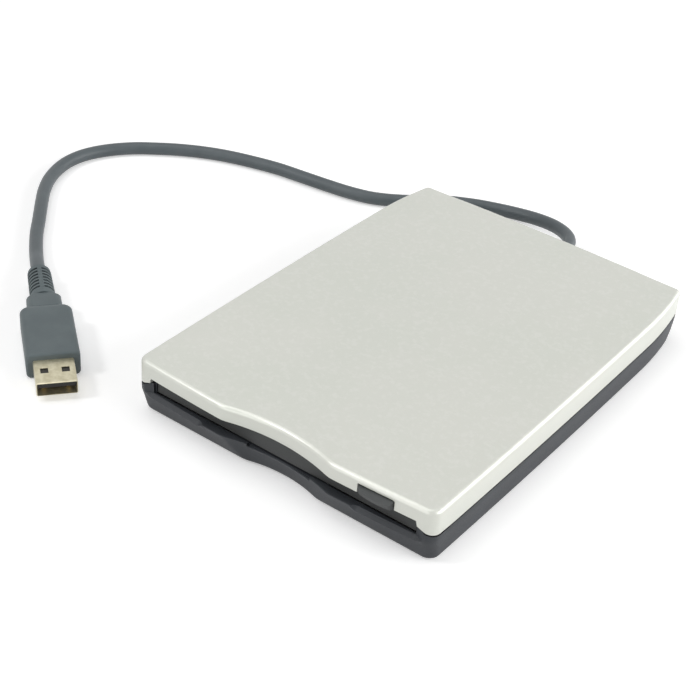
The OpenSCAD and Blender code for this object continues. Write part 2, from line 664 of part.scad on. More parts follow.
// Four leads from the header to the inner end of the strain relief
module cord_leads() {
    color([0.7, 0.2, 0.15]) shift() for (i = [0 : 3]) {
        x = 1.8 - 1.2 * i;
        y = usb_y[1] - 10 + 2 * i;
        along_x(0.4, usb_x[1] - 4.5, x, y, exit_z - 0.3);
        translate([x, y, exit_z - 0.3]) sphere(r = 0.4, $fn = 16);
        along_y(0.4, y, relief_start, x, exit_z - 0.3);
    }
}

// ---- door, button and carrier ----
module slot_door() {
    color([0.3, 0.3, 0.31]) shift() {
        slab(-door_half, door_half, door_y, door_y + door_t, door_bottom, door_top);
        both_sides() {
            slab(door_half - 1, door_half, door_y, hinge_y, door_top - 1, hinge_z);
            along_x(hinge_z - door_top, door_half - 1, door_half, hinge_y, hinge_z);
            along_x(door_pin_r, door_half - 0.5, ear_x + ear_t - 0.3, hinge_y, hinge_z);
        }
    }
}
module door_springs() {
    color([0.7, 0.7, 0.72]) shift() both_sides() difference() {
        along_x(1.5, door_half + 0.2, ear_x, hinge_y, hinge_z);
        along_x(door_pin_r + 0.15, door_half - 1, ear_x + 1, hinge_y, hinge_z);
    }
}
button_back = 6;
module eject_button() {
    nose = front_y;
    color([0.3, 0.31, 0.33]) shift() translate([button_x, 0, 0]) intersection() {
        translate([-button_w / 2, 0, 0]) rotate([90, 0, 90]) linear_extrude(button_w)
            polygon([[nose, button_low], [nose, button_low + 1.7], [nose + 1.7, button_top],
                     [button_back, button_top], [button_back, button_top - 1.8],
                     [nose + 2.1, button_top - 1.8], [nose + 2.1, button_low]]);
        translate([0, nose + 25, 0]) cylinder(r = 25, h = case_h, $fn = 144);
    }
}
module slide_plate() {
    color([0.74, 0.75, 0.76]) shift() difference() {
        union() {
            slab(-rail_out, rail_out, slide_y0, bridge_y1, slide_top_z, slide_top_z + sheet_t);
            both_sides() slab(rail_in, rail_out, slide_y0, slide_y1, disk_low - 1.6,
                              slide_top_z + sheet_t);
            slab(button_x - 3, button_x + 3, button_back, slide_y0 + 1, slide_top_z, slide_top_z + sheet_t);
        }
        slab(-30, 30, slide_y0 + 6, bridge_y1 - 6, slide_top_z - 1, slide_top_z + 2);
        // slanted slots that lift and drop the carrier's pins
        both_sides() for (y = carrier_pin_y) {
            along_x(carrier_pin_r + 0.2, rail_in - 0.3, rail_out + 0.3, y, carrier_pin_z);
            along_x(carrier_pin_r + 0.2, rail_in - 0.3, rail_out + 0.3,
                    y + eject_travel, carrier_pin_z - carrier_drop);
            translate([rail_in - 0.3, y, carrier_pin_z])
                rotate([-atan(carrier_drop / eject_travel), 0, 0])
                    translate([0, 0, -carrier_pin_r - 0.2])
                        cube([sheet_t + 0.6, norm([eject_travel, carrier_drop]), 2 * carrier_pin_r + 0.4]);
        }
    }
}
module eject_springs() {
    color([0.75, 0.75, 0.77]) shift() both_sides() difference() {
        along_y(1, bridge_y1, bridge_y1 + 16, rail_in - 4.6, slide_top_z - 0.1);
        along_y(0.6, bridge_y1 + 1, bridge_y1 + 17, rail_in - 4.6, slide_top_z - 0.1);
    }
}
lever_at = [7 - disk_w / 2, carrier_y1 - 7];
lever_arm = disk_w / 2 - 21;
lever_angle = -48;
lever_z = carrier_top_z + sheet_t + 0.1;
lever_swing = 36;
module disk_carrier() {
    lip = disk_low - carrier_lip_z + sheet_t;
    color([0.77, 0.78, 0.79]) shift() difference() {
        union() {
            slab(-carrier_out, carrier_out, carrier_y0, carrier_y1, carrier_top_z, carrier_top_z + sheet_t);
            both_sides() {
                slab(carrier_in, carrier_out, carrier_y0, carrier_y1, carrier_lip_z - sheet_t,
                     carrier_top_z + 0.1);
                slab(carrier_in - 3.6, carrier_out, carrier_y0, carrier_y1,
                     carrier_lip_z - sheet_t, carrier_lip_z);
                for (y = carrier_pin_y)
                    along_x(carrier_pin_r, carrier_in, chassis_out - 0.2, y, carrier_pin_z);
            }
            upright(1.25, carrier_top_z, lever_z + 1.9, lever_at.x, lever_at.y);
        }
        // window for the upper head and its arm
        slab(-11, 11, head_y - head_travel - 8, carrier_y1 + 1, carrier_top_z - 1, carrier_top_z + 2);
        // arc slot for the lever's pin
        translate([lever_at.x, lever_at.y, carrier_top_z - 1])
            rotate([0, 0, lever_angle - 4]) rotate_extrude(angle = lever_swing + 8)
                translate([lever_arm - 1.5, 0]) square([3, 3]);
    }
}
module lever_spring() {
    color([0.75, 0.75, 0.77]) shift() difference() {
        upright(2.1, lever_z + 0.95, lever_z + 1.8, lever_at.x, lever_at.y);
        upright(1.25, 0, 20, lever_at.x, lever_at.y);
    }
}
module shutter_lever() {
    color([0.85, 0.85, 0.8]) shift() translate([lever_at.x, lever_at.y, 0]) rotate([0, 0, lever_angle])
        difference() {
            union() {
                translate([0, 0, lever_z]) cylinder(r = 3, h = 0.8);
                slab(0, lever_arm, -1.5, 1.5, lever_z, lever_z + 0.8);
                translate([lever_arm, 0, lever_z]) cylinder(r = 1.9, h = 0.8);
                translate([lever_arm, 0, disk_low + 0.6]) cylinder(r = 1, h = lever_z - disk_low);
            }
            translate([0, 0, lever_z - 1]) cylinder(r = 1.25 + run_gap, h = 3);
        }
}
switch_at = [[disk_w / 2 - 6.8, 14], [6.8 - disk_w / 2, 14], [14 - disk_w / 2, 14]];
housing_top = chassis_z + 4.2;
plunger_r = 0.8;
module switch_housings() {
    color([0.15, 0.15, 0.16]) shift() for (p = switch_at) difference() {
        slab(p.x - 2.4, p.x + 2.4, p.y - 2.5, p.y + 2.5, chassis_z, housing_top);
        upright(plunger_r + run_gap, chassis_z + 1.4, housing_top + 1, p.x, p.y);
    }
}
module plunger(p) {
    color([0.9, 0.9, 0.88]) shift() upright(plunger_r, chassis_z + 2.4, housing_top + 1.2, p.x, p.y);
}
module write_protect_plunger() plunger(switch_at[0]);
module density_plunger() plunger(switch_at[1]);
module disk_in_plunger() plunger(switch_at[2]);

// ---- cord and plug ----
module cord_relief() {
    color([0.3, 0.33, 0.35]) shift() translate([0, 0, exit_z]) rotate([-90, 0, 0]) rotate_extrude()
        polygon([[0, relief_start], [3.4, relief_start], [3.4, case_d - 3.3], [relief_r, case_d - 3],
                 [relief_r, case_d + 0.15], [3.3, case_d + 0.15], [3.3, case_d + 1.4],
                 [2.9, case_d + 1.6], [2.6, relief_end], [0, relief_end]]);
}
// Middle of the cord, from the strain relief to the boot of the plug
floor_lie = cord_d / 2 + 0.05;
cord_route = [
    [0, relief_end, exit_z], [0, 157.2, exit_z], [-1.7, 162, 7.1], [-5.7, 166.3, 6.5],
    [-11.6, 169.6, 5.6], [-19, 172, 4.2], [-27, 172.4, 3.1], [-36, 170.7, 2.5],
    [-45, 167.2, floor_lie],
    [-55, 161, floor_lie], [-64, 152.5, floor_lie], [-73, 146.5, floor_lie], [-82, 143.6, floor_lie],
    [-92, 142, floor_lie], [-102, 140.8, floor_lie], [-112.5, 139.5, floor_lie],
    [-122, 137.2, floor_lie], [-131.5, 134.2, floor_lie], [-140, 130.4, floor_lie],
    [-148, 125.6, floor_lie], [-155, 120.2, floor_lie], [-161.5, 114.3, floor_lie],
    [-167, 106.8, floor_lie], [-170.5, 98.5, floor_lie], [-171.2, 90.5, floor_lie],
    [-169.6, 83, floor_lie], [-166.4, 75.8, floor_lie], [-162, 69.2, floor_lie],
    [-157.4, 63.7, floor_lie], [-152.6, 58.3, floor_lie], [-147.4, 52.5, floor_lie],
    [-142.2, 46.6, floor_lie], [-136.8, 41.2, 2.4], [-131.2, 36, 2.8], [-125.6, 31.2, 3.8],
    [-120.6, 27.2, 4.3]];
cord_sides = 12;
function tangent(path, i) =
    unit(path[min(i + 1, len(path) - 1)] - path[max(i - 1, 0)]);
function cord_ring(path, i) =
    let(t = i == 0 ? [0, 1, 0] : i == len(path) - 1 ? plug_axis : tangent(path, i),
        side = unit(cross(t, [0, 0, 1])), up = cross(side, t))
    [for (k = [0 : cord_sides - 1]) let(a = -360 * k / cord_sides)
        path[i] + cord_d / 2 * (cos(a) * side + sin(a) * up)];
plug_heading = 141;                            // from the tip to the cord, seen from above
plug_axis = -[cos(plug_heading), sin(plug_heading), 0];
plug_tail = cord_route[len(cord_route) - 1];
plug_total = shell_l + plug_l + neck_l + boot_l;
module cord() {
    color([0.33, 0.36, 0.39]) shift()
        skin([for (i = [len(cord_route) - 1 : -1 : 0]) cord_ring(cord_route, i)]);
}
// Places a piece of the plug: X runs from the tip to the cord, and Z is the plug's upper side
module on_plug() {
    shift() translate(plug_tail) rotate([0, 0, plug_heading]) translate([-plug_total, 0, 0]) children();
}
// Box with rounded edges along X
module rounded_bar(x0, x1, w, h, r) {
    translate([x0, 0, 0]) rotate([90, 0, 90]) linear_extrude(x1 - x0) union() {
        square([w - 2 * r, h], center = true);
        square([w, h - 2 * r], center = true);
        for (i = [-1, 1], j = [-1, 1]) translate([i * (w / 2 - r), j * (h / 2 - r)]) circle(r = r);
    }
}
body_x0 = shell_l;
neck_x0 = body_x0 + plug_l;
boot_x0 = neck_x0 + neck_l;
module plug_shell() {
    color([0.76, 0.72, 0.6]) on_plug() difference() {
        rounded_bar(0, shell_l + 4, shell_w, shell_h, 0.4);
        translate([-1, 0, 0]) translate([0, -shell_w / 2 + shell_t, -shell_h / 2 + shell_t])
            cube([shell_l + 6, shell_w - 2 * shell_t, shell_h - 2 * shell_t]);
        // two latch windows on the upper and the lower side
        for (y = [-3.1, 3.1]) translate([6.4, y, 0]) cube([2.5, 2.3, shell_h + 2], center = true);
    }
}
module plug_tongue() {
    color([0.9, 0.9, 0.9]) on_plug()
        translate([1, -shell_w / 2 + shell_t + 0.2, shell_h / 2 - shell_t - 2])
            cube([shell_l + 3, shell_w - 2 * shell_t - 0.4, 1.9]);
}
module plug_contacts() {
    color([0.85, 0.68, 0.3]) on_plug() for (y = [-3.5, -1, 1, 3.5])
        translate([1.6, y - 0.5, shell_h / 2 - shell_t - 2.15]) cube([9, 1, 0.15]);
}
module plug_body() {
    shoulder = 2.6;
    color([0.35, 0.39, 0.4]) on_plug() difference() {
        union() {
            hull() {
                rounded_bar(body_x0, body_x0 + 0.1, plug_w - 1.2, plug_h - 1.2, 1.2);
                rounded_bar(body_x0 + 0.8, neck_x0 - shoulder, plug_w, plug_h, 1.6);
                rounded_bar(neck_x0 - 0.8, neck_x0 - 0.7, plug_w - 1.8, plug_h - 0.4, 1.6);
                rounded_bar(neck_x0 - 0.1, neck_x0, plug_w - 4.6, plug_h - 1.2, 1.6);
            }
            rounded_bar(neck_x0 - 1, boot_x0 - 1.4, neck_w, neck_h, 2);
            rounded_bar(neck_x0, boot_x0, neck_w - 1.6, neck_h - 0.6, 2.2);
        }
        rounded_bar(body_x0 - 1, body_x0 + 4, shell_w, shell_h, 0.4);
    }
}
module plug_boot() {
    collar = 2.6;
    slot_pitch = (boot_l - collar - 1) / boot_slots;
    slot = slot_pitch * 0.5;
    spine = 1.2;
    color([0.33, 0.36, 0.39]) on_plug() difference() {
        translate([boot_x0, 0, 0]) rotate([0, 90, 0])
            cylinder(r1 = boot_d / 2, r2 = boot_d / 2 - 0.3, h = boot_l);
        // slots round both sides, between a spine on the upper and one on the lower side
        for (i = [0 : boot_slots - 1])
            translate([boot_x0 + collar + i * slot_pitch, 0, 0]) difference() {
                rotate([0, 90, 0]) cylinder(r = boot_d, h = slot);
                translate([-1, 0, 0]) rotate([0, 90, 0]) cylinder(r = cord_d / 2 + 0.4, h = slot + 2);
                translate([-1, -spine / 2, -boot_d]) cube([slot + 2, spine, 2 * boot_d]);
            }
    }
}

top_cover();
base_case();
rubber_feet();
case_screws();
chassis_screws();
drive_chassis();
shield_plate();
motor_board();
spindle_bearing();
stator_core();
stator_coils();
rotor_cup();
ring_magnet();
spindle_shaft();
hub_plate();
drive_pin();
guide_rods();
rod_clips();
head_carriage();
lower_head();
screw_follower();
upper_arm();
upper_head();
stepper_bracket();
stepper_motor();
lead_screw();
track_zero_sensor();
control_board();
control_chips();
usb_board();
usb_chips();
flex_cable();
cord_header();
cord_leads();
slot_door();
door_springs();
eject_button();
slide_plate();
eject_springs();
disk_carrier();
lever_spring();
shutter_lever();
switch_housings();
write_protect_plunger();
density_plunger();
disk_in_plunger();
cord_relief();
cord();
plug_boot();
plug_body();
plug_shell();
plug_tongue();
plug_contacts();
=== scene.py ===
"""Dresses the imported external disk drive: silver cover, slate base, door, button, cord and plug.

Shapes are written in millimetres, and places along Y as distances behind the front corners,
as in the part's own source. Everything is turned into metres as a mesh is made.
"""

import json
import math

import bmesh
import bpy
from mathutils import Matrix, Vector


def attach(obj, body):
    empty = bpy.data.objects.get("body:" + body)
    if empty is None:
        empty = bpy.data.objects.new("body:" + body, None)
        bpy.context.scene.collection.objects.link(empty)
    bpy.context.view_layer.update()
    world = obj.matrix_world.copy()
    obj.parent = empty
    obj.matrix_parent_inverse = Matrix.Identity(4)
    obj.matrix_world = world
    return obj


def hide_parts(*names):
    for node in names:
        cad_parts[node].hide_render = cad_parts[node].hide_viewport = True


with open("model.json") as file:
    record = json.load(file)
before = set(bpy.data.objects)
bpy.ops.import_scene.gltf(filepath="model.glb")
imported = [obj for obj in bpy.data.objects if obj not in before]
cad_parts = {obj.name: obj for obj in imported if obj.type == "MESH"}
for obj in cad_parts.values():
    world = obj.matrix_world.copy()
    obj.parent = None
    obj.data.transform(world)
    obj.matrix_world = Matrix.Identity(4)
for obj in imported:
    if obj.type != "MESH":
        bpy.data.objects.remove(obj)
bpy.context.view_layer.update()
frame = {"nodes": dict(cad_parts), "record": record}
MM = 0.001
MIDDLE_Y = 70.19  # the frame's origin, behind the front corners


def place(x, y, z):
    """A place in the frame, in metres, from millimetres behind the front corners."""
    return Vector((x, y - MIDDLE_Y, z)) * MM


# ---- camera ----
IMAGE_SIZE = 700
FOCAL_PIXELS = 1532.66
SENSOR = 36.0
AZIMUTH, ELEVATION, ROLL = 34.1478, 34.5656, 4.7896
TARGET = (0.0, 1.56, 0.2351)
ACROSS, UP, AWAY = -22.5067, 6.6319, 470.545  # the camera's place from the target, in its own axes


def make_camera():
    """Camera at the photograph's place, turn and focal length."""
    azimuth, elevation, roll = (math.radians(a) for a in (AZIMUTH, ELEVATION, ROLL))
    back = Vector((
        math.sin(azimuth) * math.cos(elevation),
        -math.cos(azimuth) * math.cos(elevation),
        math.sin(elevation),
    ))
    level = (-back).cross(Vector((0, 0, 1))).normalized()
    upright = level.cross(-back)
    right = math.cos(roll) * level + math.sin(roll) * upright
    top = -math.sin(roll) * level + math.cos(roll) * upright
    eye = back * AWAY + right * ACROSS + top * UP + Vector(TARGET)
    data = bpy.data.cameras.new("camera")
    data.sensor_width = SENSOR
    data.lens = FOCAL_PIXELS * SENSOR / IMAGE_SIZE
    data.clip_start = 0.01
    camera = bpy.data.objects.new("camera", data)
    bpy.context.scene.collection.objects.link(camera)
    turn = Matrix((right, top, back)).transposed()
    camera.matrix_world = Matrix.Translation(eye * MM) @ turn.to_4x4()
    bpy.context.scene.camera = camera


make_camera()


# ---- cord and plug, as the part has them ----
CORD_D = 4.6
LIE = 2.35  # height of the cord's middle where it lies on the surface
CORD_ROUTE = [
    (0, 153, 7.3), (0, 157.2, 7.3), (-1.7, 162, 7.1), (-5.7, 166.3, 6.5), (-11.6, 169.6, 5.6),
    (-19, 172, 4.2), (-27, 172.4, 3.1), (-36, 170.7, 2.5), (-45, 167.2, LIE), (-55, 161, LIE),
    (-64, 152.5, LIE), (-73, 146.5, LIE), (-82, 143.6, LIE), (-92, 142, LIE), (-102, 140.8, LIE),
    (-112.5, 139.5, LIE), (-122, 137.2, LIE), (-131.5, 134.2, LIE), (-140, 130.4, LIE),
    (-148, 125.6, LIE), (-155, 120.2, LIE), (-161.5, 114.3, LIE), (-167, 106.8, LIE),
    (-170.5, 98.5, LIE), (-171.2, 90.5, LIE), (-169.6, 83, LIE), (-166.4, 75.8, LIE),
    (-162, 69.2, LIE), (-157.4, 63.7, LIE), (-152.6, 58.3, LIE), (-147.4, 52.5, LIE),
    (-142.2, 46.6, LIE), (-136.8, 41.2, 2.4), (-131.2, 36, 2.8), (-125.6, 31.2, 3.8),
    (-120.6, 27.2, 4.3),
]
PLUG_TURN = math.radians(141.0)
PLUG_AXIS = Vector((math.cos(PLUG_TURN), math.sin(PLUG_TURN), 0.0))
SHELL_L, BODY_L, NECK_L, BOOT_L = 11.75, 27.0, 8.0, 16.5
PLUG_L = SHELL_L + BODY_L + NECK_L + BOOT_L
BOOT_SPINE = 1.2  # width of the boot's spines


# ---- finishes ----
WAVES_A_UNIT = 20.0 / math.tau  # stripes of Wave Texture across one unit, at scale 1
MIX_FACTOR, MIX_A, MIX_B, MIX_RESULT = 0, 6, 7, 2  # Mix's sockets for colours


class Wire:
    """A socket of a finish, with arithmetic that adds Math nodes."""

    def __init__(self, finish, socket):
        self.finish = finish
        self.socket = socket

    def math(self, operation, *values):
        return self.finish.node("ShaderNodeMath", {"operation": operation}, *values)

    def __add__(self, other):
        return self.math("ADD", self, other)

    def __radd__(self, other):
        return self.math("ADD", other, self)

    def __sub__(self, other):
        return self.math("SUBTRACT", self, other)

    def __rsub__(self, other):
        return self.math("SUBTRACT", other, self)

    def __mul__(self, other):
        return self.math("MULTIPLY", self, other)

    def __rmul__(self, other):
        return self.math("MULTIPLY", other, self)

    def clamped(self):
        """Held between 0 and 1."""
        return self.math("MINIMUM", self.math("MAXIMUM", self, 0.0), 1.0)

    def between(self, low, high):
        """0 below low, 1 above high, and smooth between them."""
        settings = {"interpolation_type": "SMOOTHSTEP"}
        return self.finish.node("ShaderNodeMapRange", settings, self, low, high, 0.0, 1.0)


class Nodes:
    """The nodes of one finish or of the world."""

    def __init__(self, owner):
        owner.use_nodes = True
        self.tree = owner.node_tree

    def node(self, kind, settings, *inputs, output=0, **named):
        """Adds a node with its settings, then the values or wires of its sockets."""
        made = self.tree.nodes.new(kind)
        for setting, value in settings.items():
            setattr(made, setting, value)
        for key, value in [*enumerate(inputs), *named.items()]:
            socket = made.inputs[key if isinstance(key, int) else key.replace("_", " ")]
            if isinstance(value, Wire):
                self.tree.links.new(value.socket, socket)
            elif value is not None:
                socket.default_value = value
        return Wire(self, made.outputs[output])

    def seen_directly(self):
        """1 for rays from the camera, and for what gloss and glass show."""
        camera = self.node("ShaderNodeLightPath", {}, output="Is Camera Ray")
        gloss = self.node("ShaderNodeLightPath", {}, output="Is Glossy Ray")
        glass = self.node("ShaderNodeLightPath", {}, output="Is Transmission Ray")
        return (camera + gloss + glass).clamped()


class Finish(Nodes):
    """One material, and the nodes that give it its grain, tone and wear."""

    def __init__(self, name, **sockets):
        self.material = bpy.data.materials.new(name)
        super().__init__(self.material)
        self.shader = self.tree.nodes["Principled BSDF"]
        for socket, value in sockets.items():
            self.shader.inputs[socket.replace("_", " ")].default_value = value

    def feed(self, **wires):
        """Links wires to the shader's sockets."""
        for socket, wire in wires.items():
            self.tree.links.new(wire.socket, self.shader.inputs[socket.replace("_", " ")])
        return self

    def spot(self):
        """Where a point is on its piece, in metres."""
        return self.node("ShaderNodeTexCoord", {}, output="Object")

    def stretched(self, x, y, z):
        """The place with each direction scaled."""
        settings = {"operation": "MULTIPLY"}
        return self.node("ShaderNodeVectorMath", settings, self.spot(), (x, y, z))

    def height(self):
        """Height above the floor, in millimetres."""
        split = self.node("ShaderNodeSeparateXYZ", {}, self.spot(), output="Z")
        return split * 1000.0

    def noise(self, size, detail=2.0, roughness=0.5, where=None):
        """Soft noise with blobs about size millimetres across."""
        return self.node(
            "ShaderNodeTexNoise", {}, Vector=where or self.spot(), Scale=1000.0 / size,
            Detail=detail, Roughness=roughness,
        )

    def cells(self, size):
        """Distance to the middles of cells about size millimetres across."""
        return self.node(
            "ShaderNodeTexVoronoi", {}, Vector=self.spot(), Scale=1000.0 / size, output="Distance")

    def ridges(self, pitch, direction):
        """Stripes across one direction, with a pitch in millimetres."""
        settings = {"wave_type": "BANDS", "bands_direction": direction}
        scale = 1000.0 / pitch / WAVES_A_UNIT
        return self.node(
            "ShaderNodeTexWave", settings, Vector=self.spot(), Scale=scale, Distortion=0.0, Detail=0.0)

    def tone(self, factor, low, high):
        """A colour between two, by a wire."""
        low, high = (c if isinstance(c, Wire) else (*c, 1.0) for c in (low, high))
        inputs = [None] * (MIX_B + 1)
        inputs[MIX_FACTOR], inputs[MIX_A], inputs[MIX_B] = factor, low, high
        return self.node("ShaderNodeMix", {"data_type": "RGBA"}, *inputs, output=MIX_RESULT)

    def bump(self, height, strength, distance):
        """Normals from a height, distance in millimetres."""
        return self.node(
            "ShaderNodeBump", {}, Strength=strength, Distance=distance * MM, Height=height,
        )


def silver_lacquer():
    """Fine silver lacquer on plastic: flakes, faint clouding and a few handling marks."""
    finish = Finish("silver_paint", Metallic=0.30, Coat_Weight=0.35, Coat_Roughness=0.2)
    flakes = finish.cells(0.16)
    clouds = finish.noise(30.0, 2.0)
    marks = finish.noise(2.6, 3.0, 0.7).between(0.70, 0.78)
    rub = finish.height().between(17.5, 18.45) * finish.noise(1.6, 3.0).between(0.46, 0.7)
    paint = finish.tone(clouds.between(0.3, 0.7), (0.657, 0.675, 0.610), (0.678, 0.686, 0.627))
    paint = finish.tone(flakes.between(0.1, 0.75) * 0.25, paint, (0.58, 0.59, 0.55))
    paint = finish.tone((marks * 0.08).clamped(), paint, (0.54, 0.54, 0.50))
    paint = finish.tone((rub * 0.3).clamped(), paint, (0.75, 0.75, 0.71))
    rough = 0.3 + flakes * 0.1 + marks * 0.06 + clouds * 0.04
    relief = flakes * 0.5 + finish.noise(0.5) * 0.5
    normal = finish.bump(relief, 0.04, 0.05)
    return finish.feed(Base_Color=paint, Roughness=rough, Normal=normal).material


def moulded_plastic(name, dark, light, grain=0.34, rough=0.42, depth=0.10):
    """Spark-grained moulded plastic with faint clouding and polished scuffs."""
    finish = Finish(name, Specular_IOR_Level=0.36)
    pits = finish.cells(grain)
    clouds = finish.noise(14.0, 3.0)
    scuffs = finish.noise(1.1, 4.0, 0.7, finish.stretched(0.4, 1.0, 1.6)).between(0.66, 0.76)
    body = finish.tone(clouds.between(0.3, 0.7), dark, light)
    body = finish.tone((scuffs * 0.22).clamped(), body, tuple(2.1 * c for c in light))
    roughness = rough + pits * 0.12 + clouds * 0.06 - scuffs * 0.06
    normal = finish.bump(pits * 0.7 + finish.noise(grain * 2.5) * 0.3, depth, 0.06)
    return finish.feed(Base_Color=body, Roughness=roughness, Normal=normal).material


def soft_vinyl(name, dark, light, rough=0.55):
    """Soft vinyl with a fine drag grain and a little dust."""
    finish = Finish(name, IOR=1.5, Sheen_Weight=0.06, Sheen_Roughness=0.5)
    grain = finish.noise(0.45, 3.0)
    clouds = finish.noise(9.0, 3.0)
    dust = finish.noise(0.8, 4.0, 0.75).between(0.64, 0.74)
    body = finish.tone(clouds.between(0.3, 0.7), dark, light)
    body = finish.tone((dust * 0.2).clamped(), body, tuple(1.9 * c for c in light))
    roughness = rough + grain * 0.1 + dust * 0.1
    normal = finish.bump(grain, 0.12, 0.06)
    return finish.feed(Base_Color=body, Roughness=roughness, Normal=normal).material


def slotted_vinyl():
    """The plug's vinyl, with painted shade: near-black where the boot's slots go down to its core."""
    finish = Finish("boot_vinyl_slot_shade", IOR=1.5, Roughness=0.6)
    tail = place(*CORD_ROUTE[-1])
    away = finish.node("ShaderNodeVectorMath", {"operation": "SUBTRACT"}, finish.spot(), tuple(tail))
    across = finish.node(
        "ShaderNodeVectorMath", {"operation": "CROSS_PRODUCT"}, away, tuple(PLUG_AXIS))
    depth = finish.node("ShaderNodeVectorMath", {"operation": "LENGTH"}, across, output="Value")
    # Painted shade: near-black towards the core, where the boot's slots go down.
    slot = 1.0 - (depth * 1000.0).between(3.0, 3.7)
    clouds = finish.noise(9.0, 3.0)
    body = finish.tone(clouds.between(0.3, 0.7), (0.078, 0.100, 0.106), (0.094, 0.118, 0.124))
    body = finish.tone(slot, body, (0.008, 0.009, 0.010))
    normal = finish.bump(finish.noise(0.45, 3.0), 0.12, 0.06)
    return finish.feed(Base_Color=body, Normal=normal).material


def foot_rubber():
    """Black rubber with dust in its grain."""
    finish = Finish("foot_rubber", IOR=1.45)
    grain = finish.noise(0.4, 4.0)
    dust = finish.noise(2.2, 3.0).between(0.52, 0.72)
    body = finish.tone((dust * 0.3).clamped(), (0.018, 0.018, 0.019), (0.09, 0.088, 0.085))
    normal = finish.bump(grain, 0.2, 0.08)
    return finish.feed(Base_Color=body, Roughness=0.7 + grain * 0.15, Normal=normal).material


def plated_sheet(name, dark, light, rough=0.3, metal=0.9):
    """Thin plated sheet: mottled tone, rolling lines and a soft shine."""
    finish = Finish(name, Metallic=metal)
    mottle = finish.noise(1.7, 3.0, 0.6)
    lines = finish.noise(0.5, 2.0, 0.5, finish.stretched(0.06, 1.0, 1.0))
    body = finish.tone(mottle.between(0.3, 0.7), dark, light)
    roughness = rough + mottle * 0.14 + lines * 0.08
    normal = finish.bump(lines * 0.6 + mottle * 0.4, 0.08, 0.03)
    return finish.feed(Base_Color=body, Roughness=roughness, Normal=normal).material


def turned_metal(name, dark, light, rough=0.22):
    """Turned or drawn metal with fine rings of tool marks."""
    finish = Finish(name, Metallic=1.0)
    marks = finish.noise(0.22, 3.0, 0.6)
    tint = finish.noise(4.0, 2.0)
    body = finish.tone(tint.between(0.3, 0.7), dark, light)
    normal = finish.bump(marks, 0.08, 0.02)
    return finish.feed(Base_Color=body, Roughness=rough + marks * 0.16, Normal=normal).material


def wound_copper():
    """Enamelled wire laid in turns, with painted shade between them."""
    finish = Finish("copper", Metallic=0.85)
    turns = finish.ridges(0.24, "Z")
    tint = finish.noise(1.2, 3.0)
    body = finish.tone(tint.between(0.3, 0.7), (0.44, 0.16, 0.05), (0.66, 0.29, 0.10))
    # Painted shade: darker copper in the creases between the turns.
    gap_shade = 1.0 - turns.between(0.0, 0.35)
    body = finish.tone(gap_shade * 0.6, body, (0.12, 0.04, 0.02))
    normal = finish.bump(turns, 0.5, 0.08)
    return finish.feed(Base_Color=body, Roughness=0.32 + tint * 0.12, Normal=normal).material


def ferrite():
    """Ground ferrite, dark and slightly speckled."""
    finish = Finish("magnet", Metallic=0.3)
    specks = finish.cells(0.3)
    body = finish.tone(specks.between(0.1, 0.6), (0.045, 0.045, 0.047), (0.022, 0.022, 0.023))
    normal = finish.bump(specks, 0.2, 0.05)
    return finish.feed(Base_Color=body, Roughness=0.5 + specks * 0.2, Normal=normal).material


def solder_mask():
    """Green solder mask over copper tracks, with bare pads here and there."""
    finish = Finish("board", Coat_Weight=0.3, Coat_Roughness=0.15)
    across = finish.ridges(1.27, "X")
    along = finish.ridges(1.27, "Y")
    pick = finish.noise(7.0, 0.0).between(0.49, 0.51)
    tracks = (across.between(0.55, 0.7) * pick + along.between(0.55, 0.7) * (1.0 - pick)).clamped()
    pads = 1.0 - finish.cells(2.5).between(0.0, 0.16)
    body = finish.tone(tracks, (0.008, 0.085, 0.032), (0.022, 0.165, 0.066))
    body = finish.tone(pads * 0.85, body, (0.55, 0.53, 0.47))
    normal = finish.bump(tracks + pads, 0.25, 0.04)
    return finish.feed(Base_Color=body, Roughness=0.35 + tracks * 0.1, Normal=normal).material


def moulded_epoxy():
    """Black moulded epoxy with a fine matte grain."""
    finish = Finish("chip")
    grain = finish.noise(0.25, 3.0)
    tint = finish.noise(3.0, 2.0)
    body = finish.tone(tint.between(0.3, 0.7), (0.014, 0.014, 0.015), (0.03, 0.03, 0.031))
    normal = finish.bump(grain, 0.15, 0.03)
    return finish.feed(Base_Color=body, Roughness=0.5 + grain * 0.2, Normal=normal).material


def amber_film():
    """Amber film over copper tracks that run with the cable."""
    finish = Finish("flex", Coat_Weight=0.4, Coat_Roughness=0.12)
    tracks = finish.ridges(1.0, "X").between(0.45, 0.6)
    body = finish.tone(tracks, (0.34, 0.13, 0.02), (0.62, 0.33, 0.09))
    normal = finish.bump(tracks, 0.3, 0.03)
    return finish.feed(Base_Color=body, Roughness=0.3 + tracks * 0.1, Normal=normal).material


